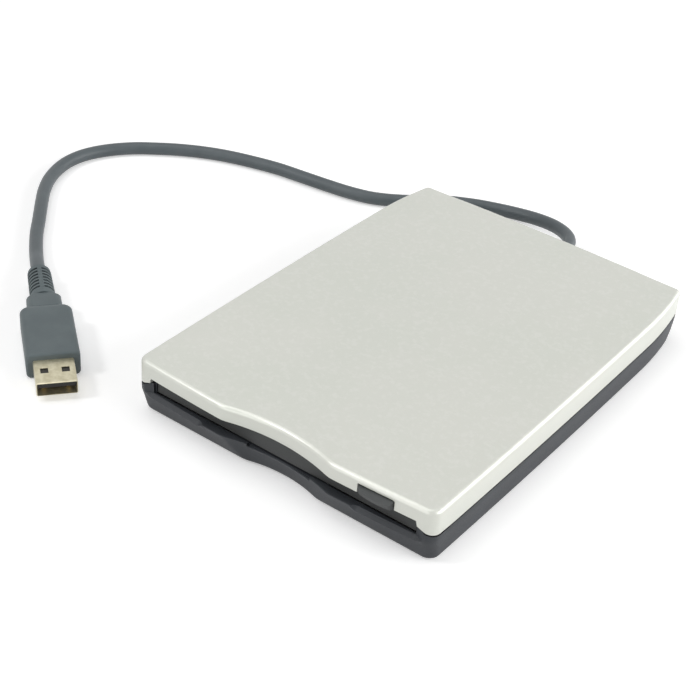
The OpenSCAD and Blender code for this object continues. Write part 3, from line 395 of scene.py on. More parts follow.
STEEL_DARK, STEEL_LIGHT = (0.47, 0.48, 0.49), (0.62, 0.63, 0.64)
FINISHES = {
    "silver_paint": silver_lacquer(),
    "slate_plastic": moulded_plastic("slate_plastic", (0.026, 0.029, 0.034), (0.034, 0.038, 0.044)),
    "button_plastic": moulded_plastic("button_plastic", (0.050, 0.054, 0.054), (0.062, 0.066, 0.066)),
    "door_plastic": moulded_plastic(
        "door_plastic", (0.040, 0.042, 0.042), (0.050, 0.052, 0.052), 0.3, 0.5),
    "foot_rubber": foot_rubber(),
    "boot_vinyl_slot_shade": slotted_vinyl(),
    # Near-black finish: painted shade in the gap where the cover meets the base.
    "seam_shade": moulded_plastic("seam_shade", (0.004, 0.004, 0.005), (0.006, 0.006, 0.007), 0.4, 0.8),
    "cord_rubber": soft_vinyl("cord_rubber", (0.062, 0.077, 0.084), (0.076, 0.092, 0.100), 0.42),
    "plug_vinyl": soft_vinyl("plug_vinyl", (0.078, 0.100, 0.106), (0.094, 0.118, 0.124)),
    "plug_metal": plated_sheet("plug_metal", (0.50, 0.46, 0.32), (0.62, 0.58, 0.43), 0.26, 0.8),
    "contact_gold": turned_metal("contact_gold", (0.80, 0.58, 0.22), (0.88, 0.66, 0.30)),
    "tongue_plastic": moulded_plastic(
        "tongue_plastic", (0.016, 0.015, 0.013), (0.024, 0.022, 0.019), 0.4, 0.4, 0.05),
    "sheet_steel": plated_sheet("sheet_steel", STEEL_DARK, STEEL_LIGHT, 0.34),
    "bright_steel": turned_metal("bright_steel", (0.58, 0.59, 0.61), (0.70, 0.71, 0.73)),
    "bronze": turned_metal("bronze", (0.42, 0.29, 0.11), (0.56, 0.41, 0.17), 0.4),
    "copper": wound_copper(),
    "magnet": ferrite(),
    "board": solder_mask(),
    "chip": moulded_epoxy(),
    "flex": amber_film(),
    "white_plastic": moulded_plastic(
        "white_plastic", (0.74, 0.74, 0.71), (0.82, 0.82, 0.79), 0.4, 0.4, 0.06),
    "black_plastic": moulded_plastic("black_plastic", (0.018, 0.018, 0.020), (0.028, 0.028, 0.030)),
    "head_ceramic": moulded_plastic(
        "head_ceramic", (0.085, 0.060, 0.042), (0.12, 0.085, 0.062), 0.3, 0.2, 0.03),
}


# ---- making pieces ----
def new_piece(name, points, faces, slot, body, *nodes, sharp=34.0, metres=False, painted_seam_shade=()):
    """A piece that stands for the CAD nodes that are named.

    Its points are in millimetres unless metres is set, and the last argument lists faces that get the
    near-black seam_shade finish: painted shade in the gap where cover meets base.
    """
    mesh = bpy.data.meshes.new(name)
    mesh.from_pydata([p if metres else place(*p) for p in points], [], faces)
    # Painted shade: the listed faces take the second, near-black finish.
    for number in painted_seam_shade:
        mesh.polygons[number].material_index = 1
    sheet = bmesh.new()
    sheet.from_mesh(mesh)
    bmesh.ops.remove_doubles(sheet, verts=sheet.verts, dist=1e-7)
    bmesh.ops.recalc_face_normals(sheet, faces=sheet.faces)
    sheet.to_mesh(mesh)
    sheet.free()
    mesh.polygons.foreach_set("use_smooth", [True] * len(mesh.polygons))
    mesh.set_sharp_from_angle(angle=math.radians(sharp))
    mesh.materials.append(FINISHES[slot])
    # The second finish is near-black painted shade.
    if painted_seam_shade:
        mesh.materials.append(FINISHES["seam_shade"])
    piece = bpy.data.objects.new(name, mesh)
    bpy.context.scene.collection.objects.link(piece)
    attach(piece, body)
    if nodes:
        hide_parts(*nodes)
    return piece


def soften(piece, width):
    """Rounds the piece's edges by a width in millimetres."""
    bevel = piece.modifiers.new("soft_edges", "BEVEL")
    bevel.width = width * MM
    bevel.segments = 2
    bevel.limit_method = "ANGLE"
    bevel.angle_limit = math.radians(30.0)
    bevel.harden_normals = True
    return piece


def strip(rows, joins_up=False):
    """Points and faces of a skin over closed rows, whose last row may join up with the first."""
    count = len(rows[0])
    points = [p for row in rows for p in row]
    faces = []
    for r in range(len(rows) if joins_up else len(rows) - 1):
        lower, upper = r * count, (r + 1) % len(rows) * count
        for i in range(count):
            j = (i + 1) % count
            faces.append((lower + i, lower + j, upper + j, upper + i))
    return points, faces


def capped(rows):
    """A closed skin over closed rows, with a flat face at each end."""
    points, faces = strip(rows)
    count = len(rows[0])
    faces.append(tuple(range(count))[::-1])
    faces.append(tuple(range(len(points) - count, len(points))))
    return points, faces


def joined(*parts):
    """Several sets of points and faces as one."""
    points, faces = [], []
    for some_points, some_faces in parts:
        start = len(points)
        points += some_points
        faces += [tuple(start + i for i in face) for face in some_faces]
    return points, faces


def block(x0, x1, y0, y1, z0, z1):
    """A block between two places on each axis."""
    rows = [[(x0, y0, z), (x1, y0, z), (x1, y1, z), (x0, y1, z)] for z in (z0, z1)]
    return capped(rows)


def turned(profile, spot, axis="Z", sides=48):
    """A turned form from (radius, distance along the axis) pairs."""
    rows = []
    for radius, along in profile:
        row = []
        for i in range(sides):
            a = math.tau * i / sides
            u, v = radius * math.cos(a), radius * math.sin(a)
            offset = {"X": (along, u, v), "Y": (v, along, u), "Z": (u, v, along)}[axis]
            row.append(tuple(s + o for s, o in zip(spot, offset)))
        rows.append(row)
    return capped(rows)


# ---- plan outline of the case ----
CASE_HALF = 52.0
CASE_D = 143.4
CASE_H = 18.5
UNDER_Z = 0.6
LEDGE_Z = 8.2
RIM_Z = 9.85
SKIRT_Z = 10.15
SLOT_HALF = 46.0
SLOT_TOP = 13.6
LEAN_BACK = 1.6
BOW_R, BOW_OUT = 760.0, 1.92
WIDEST_Y, SIDE_BOW_R = 62.0, 4640.0
BACK_BOW_R, BACK_BOW_HALF = 1296.0, 47.0
SCOOP_HALF, SCOOP_R = 18.5, 59.7
SHOULDER_EASE = 1.3
FOOT_SCOOP_HALF, FOOT_SCOOP = 12.5, 2.05
FRONT_CORNER_R, BACK_CORNER_R = 3.4, 2.0
SWEEP_Y, SWEEP_R = 117.0, 140.0
BUTTON_X, BUTTON_W = 33.5, 11.0
WINDOW_HALF = BUTTON_W / 2 + 0.3
WINDOW_TOP, WINDOW_CORNER_R = 16.6, 0.6
NOTCH_HALF = 11.0
BAND_X = 26.0  # where the lit band along the top of the base's front begins
STEP = 0.02  # between the outline's two points at a step in height


def mix(a, b, t):
    """The number at share t of the way from a to b."""
    return a + (b - a) * t


def clamp01(t):
    """The share t, held between 0 and 1."""
    return min(1.0, max(0.0, t))


def arc_drop(radius, x):
    """How far an arc has dropped at a distance from its crown."""
    return radius - math.sqrt(radius * radius - x * x)


def half_width(y):
    """Half the case's width, behind the front corners."""
    drawn = (y - WIDEST_Y) ** 2 / (2 * SIDE_BOW_R)
    sweep = (y - SWEEP_Y) ** 2 / (2 * SWEEP_R) if y > SWEEP_Y else 0.0
    return CASE_HALF - drawn - sweep


def plain_front(x, lean):
    """Distance of the front behind the corners: lean is 1 at the ledge and 0 at the foot."""
    x = abs(x)
    shoulder = mix(FOOT_SCOOP_HALF, SCOOP_HALF, lean)
    if x >= shoulder:
        return mix(LEAN_BACK, arc_drop(BOW_R, x) - BOW_OUT, lean)
    s = x / shoulder
    foot = LEAN_BACK + FOOT_SCOOP * (1 - s * s)
    deep = arc_drop(SCOOP_R, SCOOP_HALF) - arc_drop(SCOOP_R, s * SCOOP_HALF)
    return mix(foot, arc_drop(BOW_R, SCOOP_HALF) - BOW_OUT + deep, lean)


def front_edge(x, lean):
    """The front with its shoulders eased."""
    places = [x + SHOULDER_EASE * i / 5 for i in range(-5, 6)]
    return sum(plain_front(p, lean) for p in places) / len(places)


def front_stations():
    """Shares of the scoop and of the bow where the outline has points."""
    scoop = [i / 18 for i in range(1, 19)]
    notch = NOTCH_HALF / SCOOP_HALF
    scoop += [notch - STEP / SCOOP_HALF, notch + STEP / SCOOP_HALF]
    end = half_width(FRONT_CORNER_R) - FRONT_CORNER_R
    steps = [BAND_X, SLOT_HALF, BUTTON_X - WINDOW_HALF, BUTTON_X + WINDOW_HALF]
    places = [x + d for x in steps for d in (-STEP, STEP)]
    places += [BUTTON_X + WINDOW_HALF - d for d in (0.12, 0.3, WINDOW_CORNER_R)]
    places += [SLOT_HALF + d for d in (0.2, 0.4, 0.7)]
    places += [SCOOP_HALF + 0.5 + i * 1.1 for i in range(26)]
    bow = [(x - SCOOP_HALF) / (end - SCOOP_HALF) for x in places if x < end - 0.2] + [1.0]
    return sorted(scoop), sorted(bow)


SCOOP_SHARES, BOW_SHARES = front_stations()


def half_outline(lean, side_in, back_in):
    """Right half of the outline, from beside the middle of the front to beside the back's."""
    shoulder = mix(FOOT_SCOOP_HALF, SCOOP_HALF, lean)
    corner_x = half_width(FRONT_CORNER_R) - side_in - FRONT_CORNER_R
    across = [s * shoulder for s in SCOOP_SHARES]
    across += [mix(shoulder, corner_x, t) for t in BOW_SHARES]
    points = [(x, front_edge(x, lean)) for x in across]
    corner_y = points[-1][1] + FRONT_CORNER_R
    for i in range(1, 13):
        a = math.radians(-90 + 90 * i / 12)
        points.append((corner_x + FRONT_CORNER_R * math.cos(a), corner_y + FRONT_CORNER_R * math.sin(a)))
    turn = math.atan((CASE_D - BACK_CORNER_R - SWEEP_Y) / SWEEP_R)
    end_y = CASE_D - back_in - arc_drop(BACK_BOW_R, BACK_BOW_HALF) - BACK_CORNER_R * (1 - math.sin(turn))
    for i in range(1, 41):
        y = mix(corner_y, end_y, i / 40)
        points.append((half_width(y) - side_in, y))
    hub_x = half_width(end_y) - side_in - BACK_CORNER_R * math.cos(turn)
    hub_y = end_y - BACK_CORNER_R * math.sin(turn)
    for i in range(1, 10):
        a = mix(turn, math.pi / 2, i / 9)
        points.append((hub_x + BACK_CORNER_R * math.cos(a), hub_y + BACK_CORNER_R * math.sin(a)))
    last_x, last_y = points[-1]
    for i in range(1, 12):
        x = last_x * (1 - i / 12)
        bowed = CASE_D - back_in - arc_drop(BACK_BOW_R, x)
        points.append((x, mix(last_y, bowed, clamp01(i / 4))))
    return points


def outline(lean=1.0, side_in=0.0, back_in=0.0):
    """The whole outline, anticlockwise from the middle of the front."""
    half = half_outline(lean, side_in, back_in)
    left = [(-x, y) for x, y in reversed(half)]
    return [(0.0, front_edge(0.0, lean)), *half, (0.0, CASE_D - back_in), *left]


def inward(points):
    """Unit directions that point into the outline, one for each point."""
    count = len(points)
    found = []
    for i in range(count):
        ahead, behind = points[(i + 1) % count], points[i - 1]
        dx, dy = ahead[0] - behind[0], ahead[1] - behind[1]
        size = math.hypot(dx, dy)
        found.append((-dy / size, dx / size))
    return found


def drawn_in(points, inset):
    """The outline with each point moved inward: inset is one distance, or one for each point."""
    insets = inset if isinstance(inset, list) else [inset] * len(points)
    return [(p[0] + d[0] * i, p[1] + d[1] * i) for p, d, i in zip(points, inward(points), insets)]


def graph(pairs, x):
    """Straight lines through pairs of numbers, read at x."""
    if x <= pairs[0][0]:
        return pairs[0][1]
    for (x0, y0), (x1, y1) in zip(pairs, pairs[1:]):
        if x <= x1:
            return mix(y0, y1, (x - x0) / (x1 - x0))
    return pairs[-1][1]


# ---- top cover ----
SKIRT_STEP = [(46.0, 13.6), (46.4, 12.0), (47.5, 11.5), (49.0, 10.9), (50.5, 10.55), (51.8, 10.35)]
COVER_WALL = 1.6
COVER_EDGE = 0.22
TOP_FILLET = 1.4
CEILING_Z = 17.0
POST_R, POST_Z = 3.0, 10.2
SCREW_AT = (45.0, 129.0)


def skirt_bottom(x, y):
    """Height of the cover's lower edge."""
    if y > 9.0:
        return SKIRT_Z
    if abs(x - BUTTON_X) < WINDOW_HALF:
        past = x - (BUTTON_X + WINDOW_HALF - WINDOW_CORNER_R)
        round_off = arc_drop(WINDOW_CORNER_R, min(past, WINDOW_CORNER_R)) if past > 0 else 0.0
        return WINDOW_TOP - round_off
    if abs(x) < SLOT_HALF:
        return SLOT_TOP
    return mix(graph(SKIRT_STEP, abs(x)), SKIRT_Z, clamp01((y - 3.0) / 5.0))


def make_top_cover():
    """Silver cover: skirt with the slot and the button's window, fillet, flat top, ears and posts."""
    edge = outline()
    low = [skirt_bottom(x, y) for x, y in edge]
    sections = [(COVER_WALL, CEILING_Z, 0), (COVER_WALL, 0.1, 1), (COVER_WALL - 0.1, 0.0, 1)]
    for i in range(4):
        a = math.pi / 2 * i / 3
        sections.append((COVER_EDGE * (1 - math.sin(a)), COVER_EDGE * (1 - math.cos(a)), 1))
    rows = []
    for inset, z, on_edge in sections:
        ring = drawn_in(edge, inset)
        rows.append([(x, y, z + low[i] * on_edge) for i, (x, y) in enumerate(ring)])
    for share in (0.35, 0.7):
        top = CASE_H - TOP_FILLET
        rows.append([(x, y, mix(low[i] + COVER_EDGE, top, share)) for i, (x, y) in enumerate(edge)])
    for i in range(13):
        a = math.pi / 2 * i / 12
        z = CASE_H - TOP_FILLET * (1 - math.sin(a))
        rows.append([(x, y, z) for x, y in drawn_in(edge, TOP_FILLET * (1 - math.cos(a)))])
    root = CEILING_Z + 0.5
    inside = []
    for side in (-1, 1):
        inside.append(block(*sorted((side * 46.6, side * 48.0)), 1.0, 4.5, 12.7, root))
        post = [(POST_R, POST_Z), (POST_R, root)]
        inside.append(turned(post, (side * SCREW_AT[0], SCREW_AT[1], 0.0)))
    points, faces = joined(capped(rows), *inside)
    new_piece("cover_silver", points, faces, "silver_paint", "case", "top_cover")


# ---- base ----
BAND_W, BAND_SLOPE = 1.15, 0.75
CHEEK = [(46.0, 11.62), (46.3, 11.62), (48.9, 10.55), (50.4, 10.2), (52.0, 9.85)]
BACK_ROUND = 7.0
BOTTOM_FILLET = 1.0
SIDE_TAPER = 0.6
BASE_WALL = 2.4
FLOOR_Z = 2.2
TONGUE_IN = 1.75
TONGUE_Z = 11.0
GROOVE_Z = 7.7
NOTCH_DROP = 0.25
STOP_TOP = 13.45
FOOT_AT = [(42.0, 12.0), (41.0, 118.0)]
FOOT_HOLE_R, FOOT_HOLE_DEPTH = 4.15, 0.8
SCREW_HOLE_R, SCREW_HOLE_DEPTH = 2.5, 2.4


def base_ring(z):
    """Outline of the base at a height."""
    lean = clamp01((z - UNDER_Z - 0.3) / (LEDGE_Z - UNDER_Z - 0.3))
    rise = clamp01((RIM_Z - z) / (RIM_Z - UNDER_Z))
    above = z - UNDER_Z
    back_in = arc_drop(BACK_ROUND, BACK_ROUND - above) if above < BACK_ROUND else 0.0
    return outline(lean, SIDE_TAPER * rise, back_in)


def cavity_ring(z):
    """Outline of the base's hollow at a height."""
    above = z - FLOOR_Z
    back_in = arc_drop(BACK_ROUND, BACK_ROUND - above - 0.6) if above + 0.6 < BACK_ROUND else 0.0
    return outline(0.0, BASE_WALL, BASE_WALL + back_in)


class BaseEdge:
    """Heights and widths along the top of the base's front, at one point of the outline."""

    def __init__(self, x, y):
        across = abs(x)
        in_front = y < 6.0
        self.ledge = in_front and across < SLOT_HALF
        self.cheek = in_front and not self.ledge
        self.band = 0.0
        if in_front and across > BAND_X:
            self.band = BAND_W * clamp01((48.6 - across) / 2.0) * clamp01((across - BAND_X + 0.4) / 1.8)
        if self.ledge:
            self.top = GROOVE_Z - NOTCH_DROP if across < NOTCH_HALF else LEDGE_Z
            self.groove_y = 1.4 if across < NOTCH_HALF else 1.3
            room = self.groove_y - y - self.band
            self.soft = max(0.01, min(0.2, room * 0.7))
        else:
            rise = clamp01((y - 2.0) / 1.5)
            self.top = mix(graph(CHEEK, across), RIM_Z, rise) if in_front else RIM_Z
            self.soft = 0.18


def make_base_case():
    """Slate base: leaning scooped front, ledge, notch and cheeks, and the upswept back."""
    rim = outline()
    edges = [BaseEdge(x, y) for x, y in rim]
    rows = []
    for i in range(6):
        a = math.pi / 2 * i / 5
        z = UNDER_Z + BOTTOM_FILLET * (1 - math.cos(a))
        ring = drawn_in(base_ring(z), BOTTOM_FILLET * (1 - math.sin(a)))
        rows.append([(x, y, z) for x, y in ring])
    for z in (2.2, 2.9, 3.7, 4.5, 5.3, 6.1, 6.8):
        rows.append([(x, y, z) for x, y in base_ring(z)])
    near_top = base_ring(LEDGE_Z)
    turn_in = inward(near_top)

    def level(height, inset):
        """A row whose height and inset follow the edge."""
        row = []
        for i, edge in enumerate(edges):
            z, d = height(edge), inset(edge)
            share = clamp01((z - LEDGE_Z) / (RIM_Z - LEDGE_Z))
            x = mix(near_top[i][0], rim[i][0], share) + turn_in[i][0] * d
            y = mix(near_top[i][1], rim[i][1], share) + turn_in[i][1] * d
            row.append((x, y, z))
        rows.append(row)

    level(lambda e: min(LEDGE_Z, e.top) - e.band * BAND_SLOPE - e.soft, lambda e: 0.0)
    level(lambda e: min(LEDGE_Z, e.top) - e.soft, lambda e: e.band)
    level(lambda e: e.top - e.soft, lambda e: e.band)
    level(lambda e: e.top - e.soft * 0.3, lambda e: e.band + e.soft * 0.3)
    level(lambda e: e.top, lambda e: e.band + e.soft)
    inner = drawn_in(rim, TONGUE_IN)
    cavity = cavity_ring(RIM_Z)
    floor = cavity_ring(FLOOR_Z)
    lip = [[], [], [], []]
    for i, edge in enumerate(edges):
        x, y = inner[i]
        if edge.ledge:
            x = rim[i][0]
            lip[0].append((x, edge.groove_y, edge.top))
            lip[1].append((x, edge.groove_y, GROOVE_Z))
            inside = max(cavity[i][1], edge.groove_y + 0.1)
            lip[2].append((x, inside, GROOVE_Z))
            lip[3].append((x, inside, FLOOR_Z))
            continue
        tongue = max(TONGUE_Z, edge.top)
        lip[0].append((x, y, edge.top))
        lip[1].append((x, y, tongue))
        for row, (in_x, in_y), z in ((lip[2], cavity[i], tongue), (lip[3], floor[i], FLOOR_Z)):
            if edge.cheek:
                in_x = math.copysign(max(abs(in_x), SLOT_HALF + 0.05), in_x)
                in_y = max(in_y, y + 0.7)
            row.append((in_x, in_y, z))
    rows += lip
    points, faces = strip(rows)
    count = len(rim)
    # The rim's rounded top and the tongue's outer wall under the cover, away from the slot, get
    # near-black painted shade that stands for the dark gap where cover meets base.
    painted_seam_shade = [
        r * count + i
        for r in range(len(rows) - 6, len(rows) - 3)
        for i in range(count)
        if not (edges[i].ledge or edges[(i + 1) % count].ledge)
    ]
    faces.append(tuple(range(len(points) - count, len(points))))
    under = open_underside([(x, y) for x, y, z in rows[0]])
    stops = [
        block(*sorted((side * 45.45, side * 46.05)), 1.35, 6.9, GROOVE_Z, STOP_TOP)
        for side in (-1, 1)
    ]
    points, faces = joined((points, faces), under, *stops)
    new_piece(
        "base_slate", points, faces, "slate_plastic", "case", "base_case", sharp=28.0, painted_seam_shade=painted_seam_shade)


def circle(x, y, radius):
    """Places round a circle."""
    sides = 40
    return [
        (x + radius * math.cos(math.tau * i / sides), y + radius * math.sin(math.tau * i / sides))
        for i in range(sides)
    ]


def open_underside(edge):
    """The flat underside with round recesses for the feet and the screws."""
    recesses = []
    for side in (-1, 1):
        for x, y in FOOT_AT:
            recesses.append((circle(side * x, y, FOOT_HOLE_R), FOOT_HOLE_DEPTH))
        screw = circle(side * SCREW_AT[0], SCREW_AT[1], SCREW_HOLE_R)
        recesses.append((screw, SCREW_HOLE_DEPTH))
    sheet = bmesh.new()
    for loop in [edge, *(ring for ring, depth in recesses)]:
        verts = [sheet.verts.new((x, y, UNDER_Z)) for x, y in loop]
        for i, vert in enumerate(verts):
            sheet.edges.new((verts[i - 1], vert))
    bmesh.ops.triangle_fill(sheet, use_beauty=True, use_dissolve=False, edges=sheet.edges)
    sheet.verts.index_update()
    points = [tuple(v.co) for v in sheet.verts]
    faces = [tuple(v.index for v in face.verts) for face in sheet.faces]
    sheet.free()
    walls = []
    for ring, depth in recesses:
        rows = [[(x, y, z) for x, y in ring] for z in (UNDER_Z, UNDER_Z + depth)]
        wall_points, wall_faces = strip(rows)
        wall_faces.append(tuple(range(len(ring), 2 * len(ring))))
        walls.append((wall_points, wall_faces))
    return joined((points, faces), *walls)


def make_rubber_feet():
    """Four round rubber feet with softened rims."""
    profile = [(0.4, 0.0), (3.2, 0.0), (3.7, 0.1), (3.95, 0.35), (4.0, 0.7), (4.0, 1.4), (0.4, 1.4)]
    feet = [turned(profile, (s * x, y, 0.0)) for s in (-1, 1) for x, y in FOOT_AT]
    new_piece("feet_rubber", *joined(*feet), "foot_rubber", "case", "rubber_feet")


# ---- door and button ----
DOOR_PIN = (0.0, 2.9, 14.3)
BUTTON_NOSE, BUTTON_BOW_R = -3.02, 25.0


def make_slot_door():
    """Sprung flap behind the slot, with a cheek and a pin at each end."""
    parts = [block(-45.3, 45.3, 1.6, 2.6, 8.3, 13.4)]
    for side in (-1, 1):
        x0, x1 = sorted((side * 44.3, side * 45.2))
        parts.append(block(x0, x1, 1.85, 2.9, 12.4, 14.3))
        parts.append(turned([(0.9, x0), (0.9, x1)], DOOR_PIN, "X", 24))
        x0, x1 = sorted((side * 44.8, side * 47.7))
        parts.append(turned([(0.8, x0), (0.8, x1)], DOOR_PIN, "X", 24))
    door = new_piece("door_flap", *joined(*parts), "door_plastic", "door", "slot_door")
    soften(door, 0.18)


def make_eject_button():
    """Button with a bowed front that leans in below, and a slanted upper facet."""
    nose, half = BUTTON_NOSE, BUTTON_W / 2
    top, low = WINDOW_TOP - 0.3, SLOT_TOP + 0.1
    face_height, facet_depth, lean = 1.7, 1.7, 0.8
    hook, stem_z, back = nose + 2.1, 14.5, 6.0
    rows = []
    for i in range(33):
        x = mix(-half, half, i / 32)
        ease = max(0.0, abs(x) - half + 0.9)
        front = nose + arc_drop(BUTTON_BOW_R, x) + arc_drop(0.95, ease)
        slant = mix(low + face_height, top, (front - nose) / facet_depth)
        section = [(back, stem_z), (hook, stem_z), (hook, low), (front + lean, low), (front, slant)]
        section += [(nose + facet_depth, top), (back, top)]
        rows.append([(BUTTON_X + x, y, z) for y, z in section])
    button = new_piece("button_eject", *capped(rows), "button_plastic", "eject_slide", "eject_button")
    soften(button, 0.14)


# ---- cord and plug ----
def smooth_route(points):
    """A smooth curve through the points, as closely spaced places in metres."""
    spots = [place(*p) for p in points]
    first = spots[0] - Vector((0, 1, 0)) * (spots[1] - spots[0]).length
    last = spots[-1] - PLUG_AXIS * (spots[-1] - spots[-2]).length
    spots = [first, *spots, last]
    steps = 8
    found = []
    for i in range(1, len(spots) - 2):
        before, here, there, after = spots[i - 1:i + 3]
        for k in range(steps):
            t = k / steps
            found.append(0.5 * (
                2 * here + (there - before) * t
                + (2 * before - 5 * here + 4 * there - after) * t * t
                + (3 * here - before - 3 * there + after) * t * t * t
            ))
    found.append(spots[-2])
    return found


def tube(path, radius):
    """Rows of a tube along a path, in metres."""
    sides = 24
    rows = []
    for i, spot in enumerate(path):
        along = (path[min(i + 1, len(path) - 1)] - path[max(i - 1, 0)]).normalized()
        side = along.cross(Vector((0, 0, 1))).normalized()
        over = side.cross(along)
        rows.append([
            spot + radius * (math.cos(a) * side + math.sin(a) * over)
            for a in (math.tau * k / sides for k in range(sides))
        ])
    return rows


def make_cord():
    """Round vinyl cord from the strain relief to the boot."""
    path = smooth_route(CORD_ROUTE)
    rows = tube(path, CORD_D / 2 * MM)
    cord = new_piece("cord_vinyl", *capped(rows), "cord_rubber", "case", "cord", metres=True)
    length = sum((b - a).length for a, b in zip(path, path[1:]))
    return cord, path, round(length, 4)


def make_cord_relief():
    """Tapered sleeve with rings where the cord leaves the back."""
    profile = [(0.3, 138.4), (3.4, 138.4), (3.4, 140.1), (2.05, 140.4), (2.05, 143.5), (3.3, 143.55)]
    profile += [(3.3, 144.8), (3.1, 145.0)]
    for i in range(4):
        y = 145.6 + i * 1.75
        r = mix(3.0, 2.66, i / 3)
        profile += [(r - 0.3, y - 0.4), (r - 0.3, y + 0.1), (r, y + 0.3)]
        profile += [(r, y + 1.1), (r - 0.3, y + 1.3)]
    profile += [(2.62, 152.7), (2.5, 153.0), (2.3, 153.05)]
    relief = turned(profile, (0.0, 0.0, 7.3), "Y", 36)
    return new_piece("relief_sleeve", *relief, "plug_vinyl", "case", "cord_relief")


def on_plug(points):
    """Points of the plug, from its own axes into the frame: X runs from the tip to the cord."""
    tail = place(*CORD_ROUTE[-1])
    turn = Matrix.Rotation(PLUG_TURN, 3, "Z")
    return [tail + turn @ (Vector((x - PLUG_L, y, z)) * MM) for x, y, z in points]


def plug_piece(name, form, slot, node, sharp=34.0):
    """A piece of the plug, drawn on the plug's own axes."""
    points, faces = form
    return new_piece(name, on_plug(points), faces, slot, "case", node, sharp=sharp, metres=True)


def rounded_section(x, width, thickness, radius):
    """Rounded rectangle across the plug's axis."""
    steps = 8
    found = []
    for cy, cz, start in ((1, 1, 0), (-1, 1, 90), (-1, -1, 180), (1, -1, 270)):
        for i in range(steps + 1):
            a = math.radians(start + 90 * i / steps)
            found.append((
                x,
                cy * (width / 2 - radius) + radius * math.cos(a),
                cz * (thickness / 2 - radius) + radius * math.sin(a),
            ))
    return found


def make_plug_body():
    """Moulded grip: softened nose, rounded shoulders, and the stepped neck block."""
    nose, shoulder, neck, boot = SHELL_L, 2.6, SHELL_L + BODY_L, SHELL_L + BODY_L + NECK_L
    sections = [(nose, 9.0, 3.2, 1.0), (nose, 14.4, 6.9, 1.3)]
    for i in range(1, 5):
        a = math.pi / 2 * i / 4
        grow = 0.8 * math.sin(a)
        sections.append((nose + 0.8 * (1 - math.cos(a)), 14.4 + 2 * grow, 6.9 + 2 * grow, 1.5))
    sections += [(mix(nose + 0.8, neck - shoulder, i / 6), 16.0, 8.5, 1.7) for i in range(1, 7)]
    for i in range(1, 9):
        a = math.pi / 2 * i / 8
        x = neck - shoulder + shoulder * math.sin(a)
        drop = 1 - math.cos(a)
        sections.append((x, 16.0 - 2 * shoulder * drop, 8.5 - 1.4 * drop, 1.7))
    sections += [(neck, 10.8, 7.1, 1.9), (neck + 0.25, 10.8, 7.6, 2.0), (neck + 0.5, 10.8, 7.6, 2.0)]
    sections += [(boot - 1.7, 10.8, 7.6, 2.0), (boot - 1.4, 10.5, 7.4, 2.0), (boot - 1.35, 9.4, 7.1, 2.2)]
    sections += [(boot - 0.25, 9.2, 7.0, 2.2), (boot, 8.7, 6.6, 2.2), (boot, 5.0, 5.0, 2.2)]
    rows = [rounded_section(*s) for s in sections]
    return plug_piece("plug_grip", capped(rows), "plug_vinyl", "plug_body", 30.0)


def boot_section(x, radius, core=None):
    """Round section of the boot, or its core with an upper and a lower spine."""
    sides = 72
    spine = math.degrees(math.asin(BOOT_SPINE / 2 / radius)) + 1.5
    found = []
    for k in range(sides):
        a = math.tau * k / sides
        y, z = math.cos(a), math.sin(a)
        off = abs(abs(math.degrees(math.atan2(z, y))) - 90.0)
        reach = core if core and off >= spine else radius
        found.append((x, reach * y, reach * z))
    return found


def make_plug_boot():
    """Ladder-slotted boot with a plain collar and a spine above and below."""
    start, collar, slots = PLUG_L - BOOT_L, 2.6, 7
    pitch = (BOOT_L - collar - 1.0) / slots
    core = CORD_D / 2 + 0.35
    sections = [(start, 2.4), (start, 3.8), (start + 0.25, 4.0)]
    for i in range(slots):
        x = start + collar + i * pitch
        past = x + pitch / 2
        radius = mix(4.0, 3.75, i / slots)
        sections += [(x - 0.08, radius), (x, radius - 0.08), (x + 0.03, radius, core)]
        sections += [(past - 0.03, radius, core), (past, radius - 0.08), (past + 0.08, radius)]
    sections += [(PLUG_L - 0.3, 3.7), (PLUG_L, 3.4), (PLUG_L, 2.25)]
    rows = [boot_section(*s) for s in sections]
    boot = plug_piece("plug_boot_ribbed", capped(rows), "plug_vinyl", "plug_boot", 30.0)
    # The boot takes the vinyl finish with painted shade in its slots.
    boot.data.materials[0] = FINISHES["boot_vinyl_slot_shade"]
    return boot


def make_plug_shell():
    """Folded metal shell with two latch windows above and two below."""
    outer = [(SHELL_L + 4.0, 12.0, 4.5, 0.55), (0.25, 12.0, 4.5, 0.55), (0.0, 11.7, 4.2, 0.45)]
    inner = [(0.0, 11.5, 4.0, 0.35), (0.3, 11.4, 3.9, 0.3), (SHELL_L + 4.0, 11.4, 3.9, 0.3)]
    rows = [rounded_section(*s) for s in outer + inner]
    points, faces = strip(rows, joins_up=True)
    shell = plug_piece("plug_shell_metal", (points, faces), "plug_metal", "plug_shell")
    windows = [block(5.15, 7.65, y - 1.15, y + 1.15, -3.0, 3.0) for y in (-3.1, 3.1)]
    cut_points, cut_faces = joined(*windows)
    mesh = bpy.data.meshes.new("latch_windows")
    mesh.from_pydata(on_plug(cut_points), [], cut_faces)
    tool = bpy.data.objects.new("latch_windows", mesh)
    bpy.context.scene.collection.objects.link(tool)
    cut = shell.modifiers.new("latch_windows", "BOOLEAN")
    cut.object = tool
    cut.operation = "DIFFERENCE"
    cut.solver = "EXACT"
    bpy.context.view_layer.update()
    cut_mesh = bpy.data.meshes.new_from_object(
        shell.evaluated_get(bpy.context.evaluated_depsgraph_get()))
    shell.modifiers.remove(cut)
    shell.data = cut_mesh
    bpy.data.objects.remove(tool)
    cut_mesh.set_sharp_from_angle(angle=math.radians(30.0))
    return soften(shell, 0.07)


cord_piece, cord_path, cord_length = make_cord()
plug_pieces = [make_cord_relief(), make_plug_body(), make_plug_boot(), make_plug_shell()]
plug_pieces += [frame["nodes"][name] for name in ("plug_tongue", "plug_contacts")]
make_top_cover()
make_base_case()
make_rubber_feet()
make_slot_door()
make_eject_button()


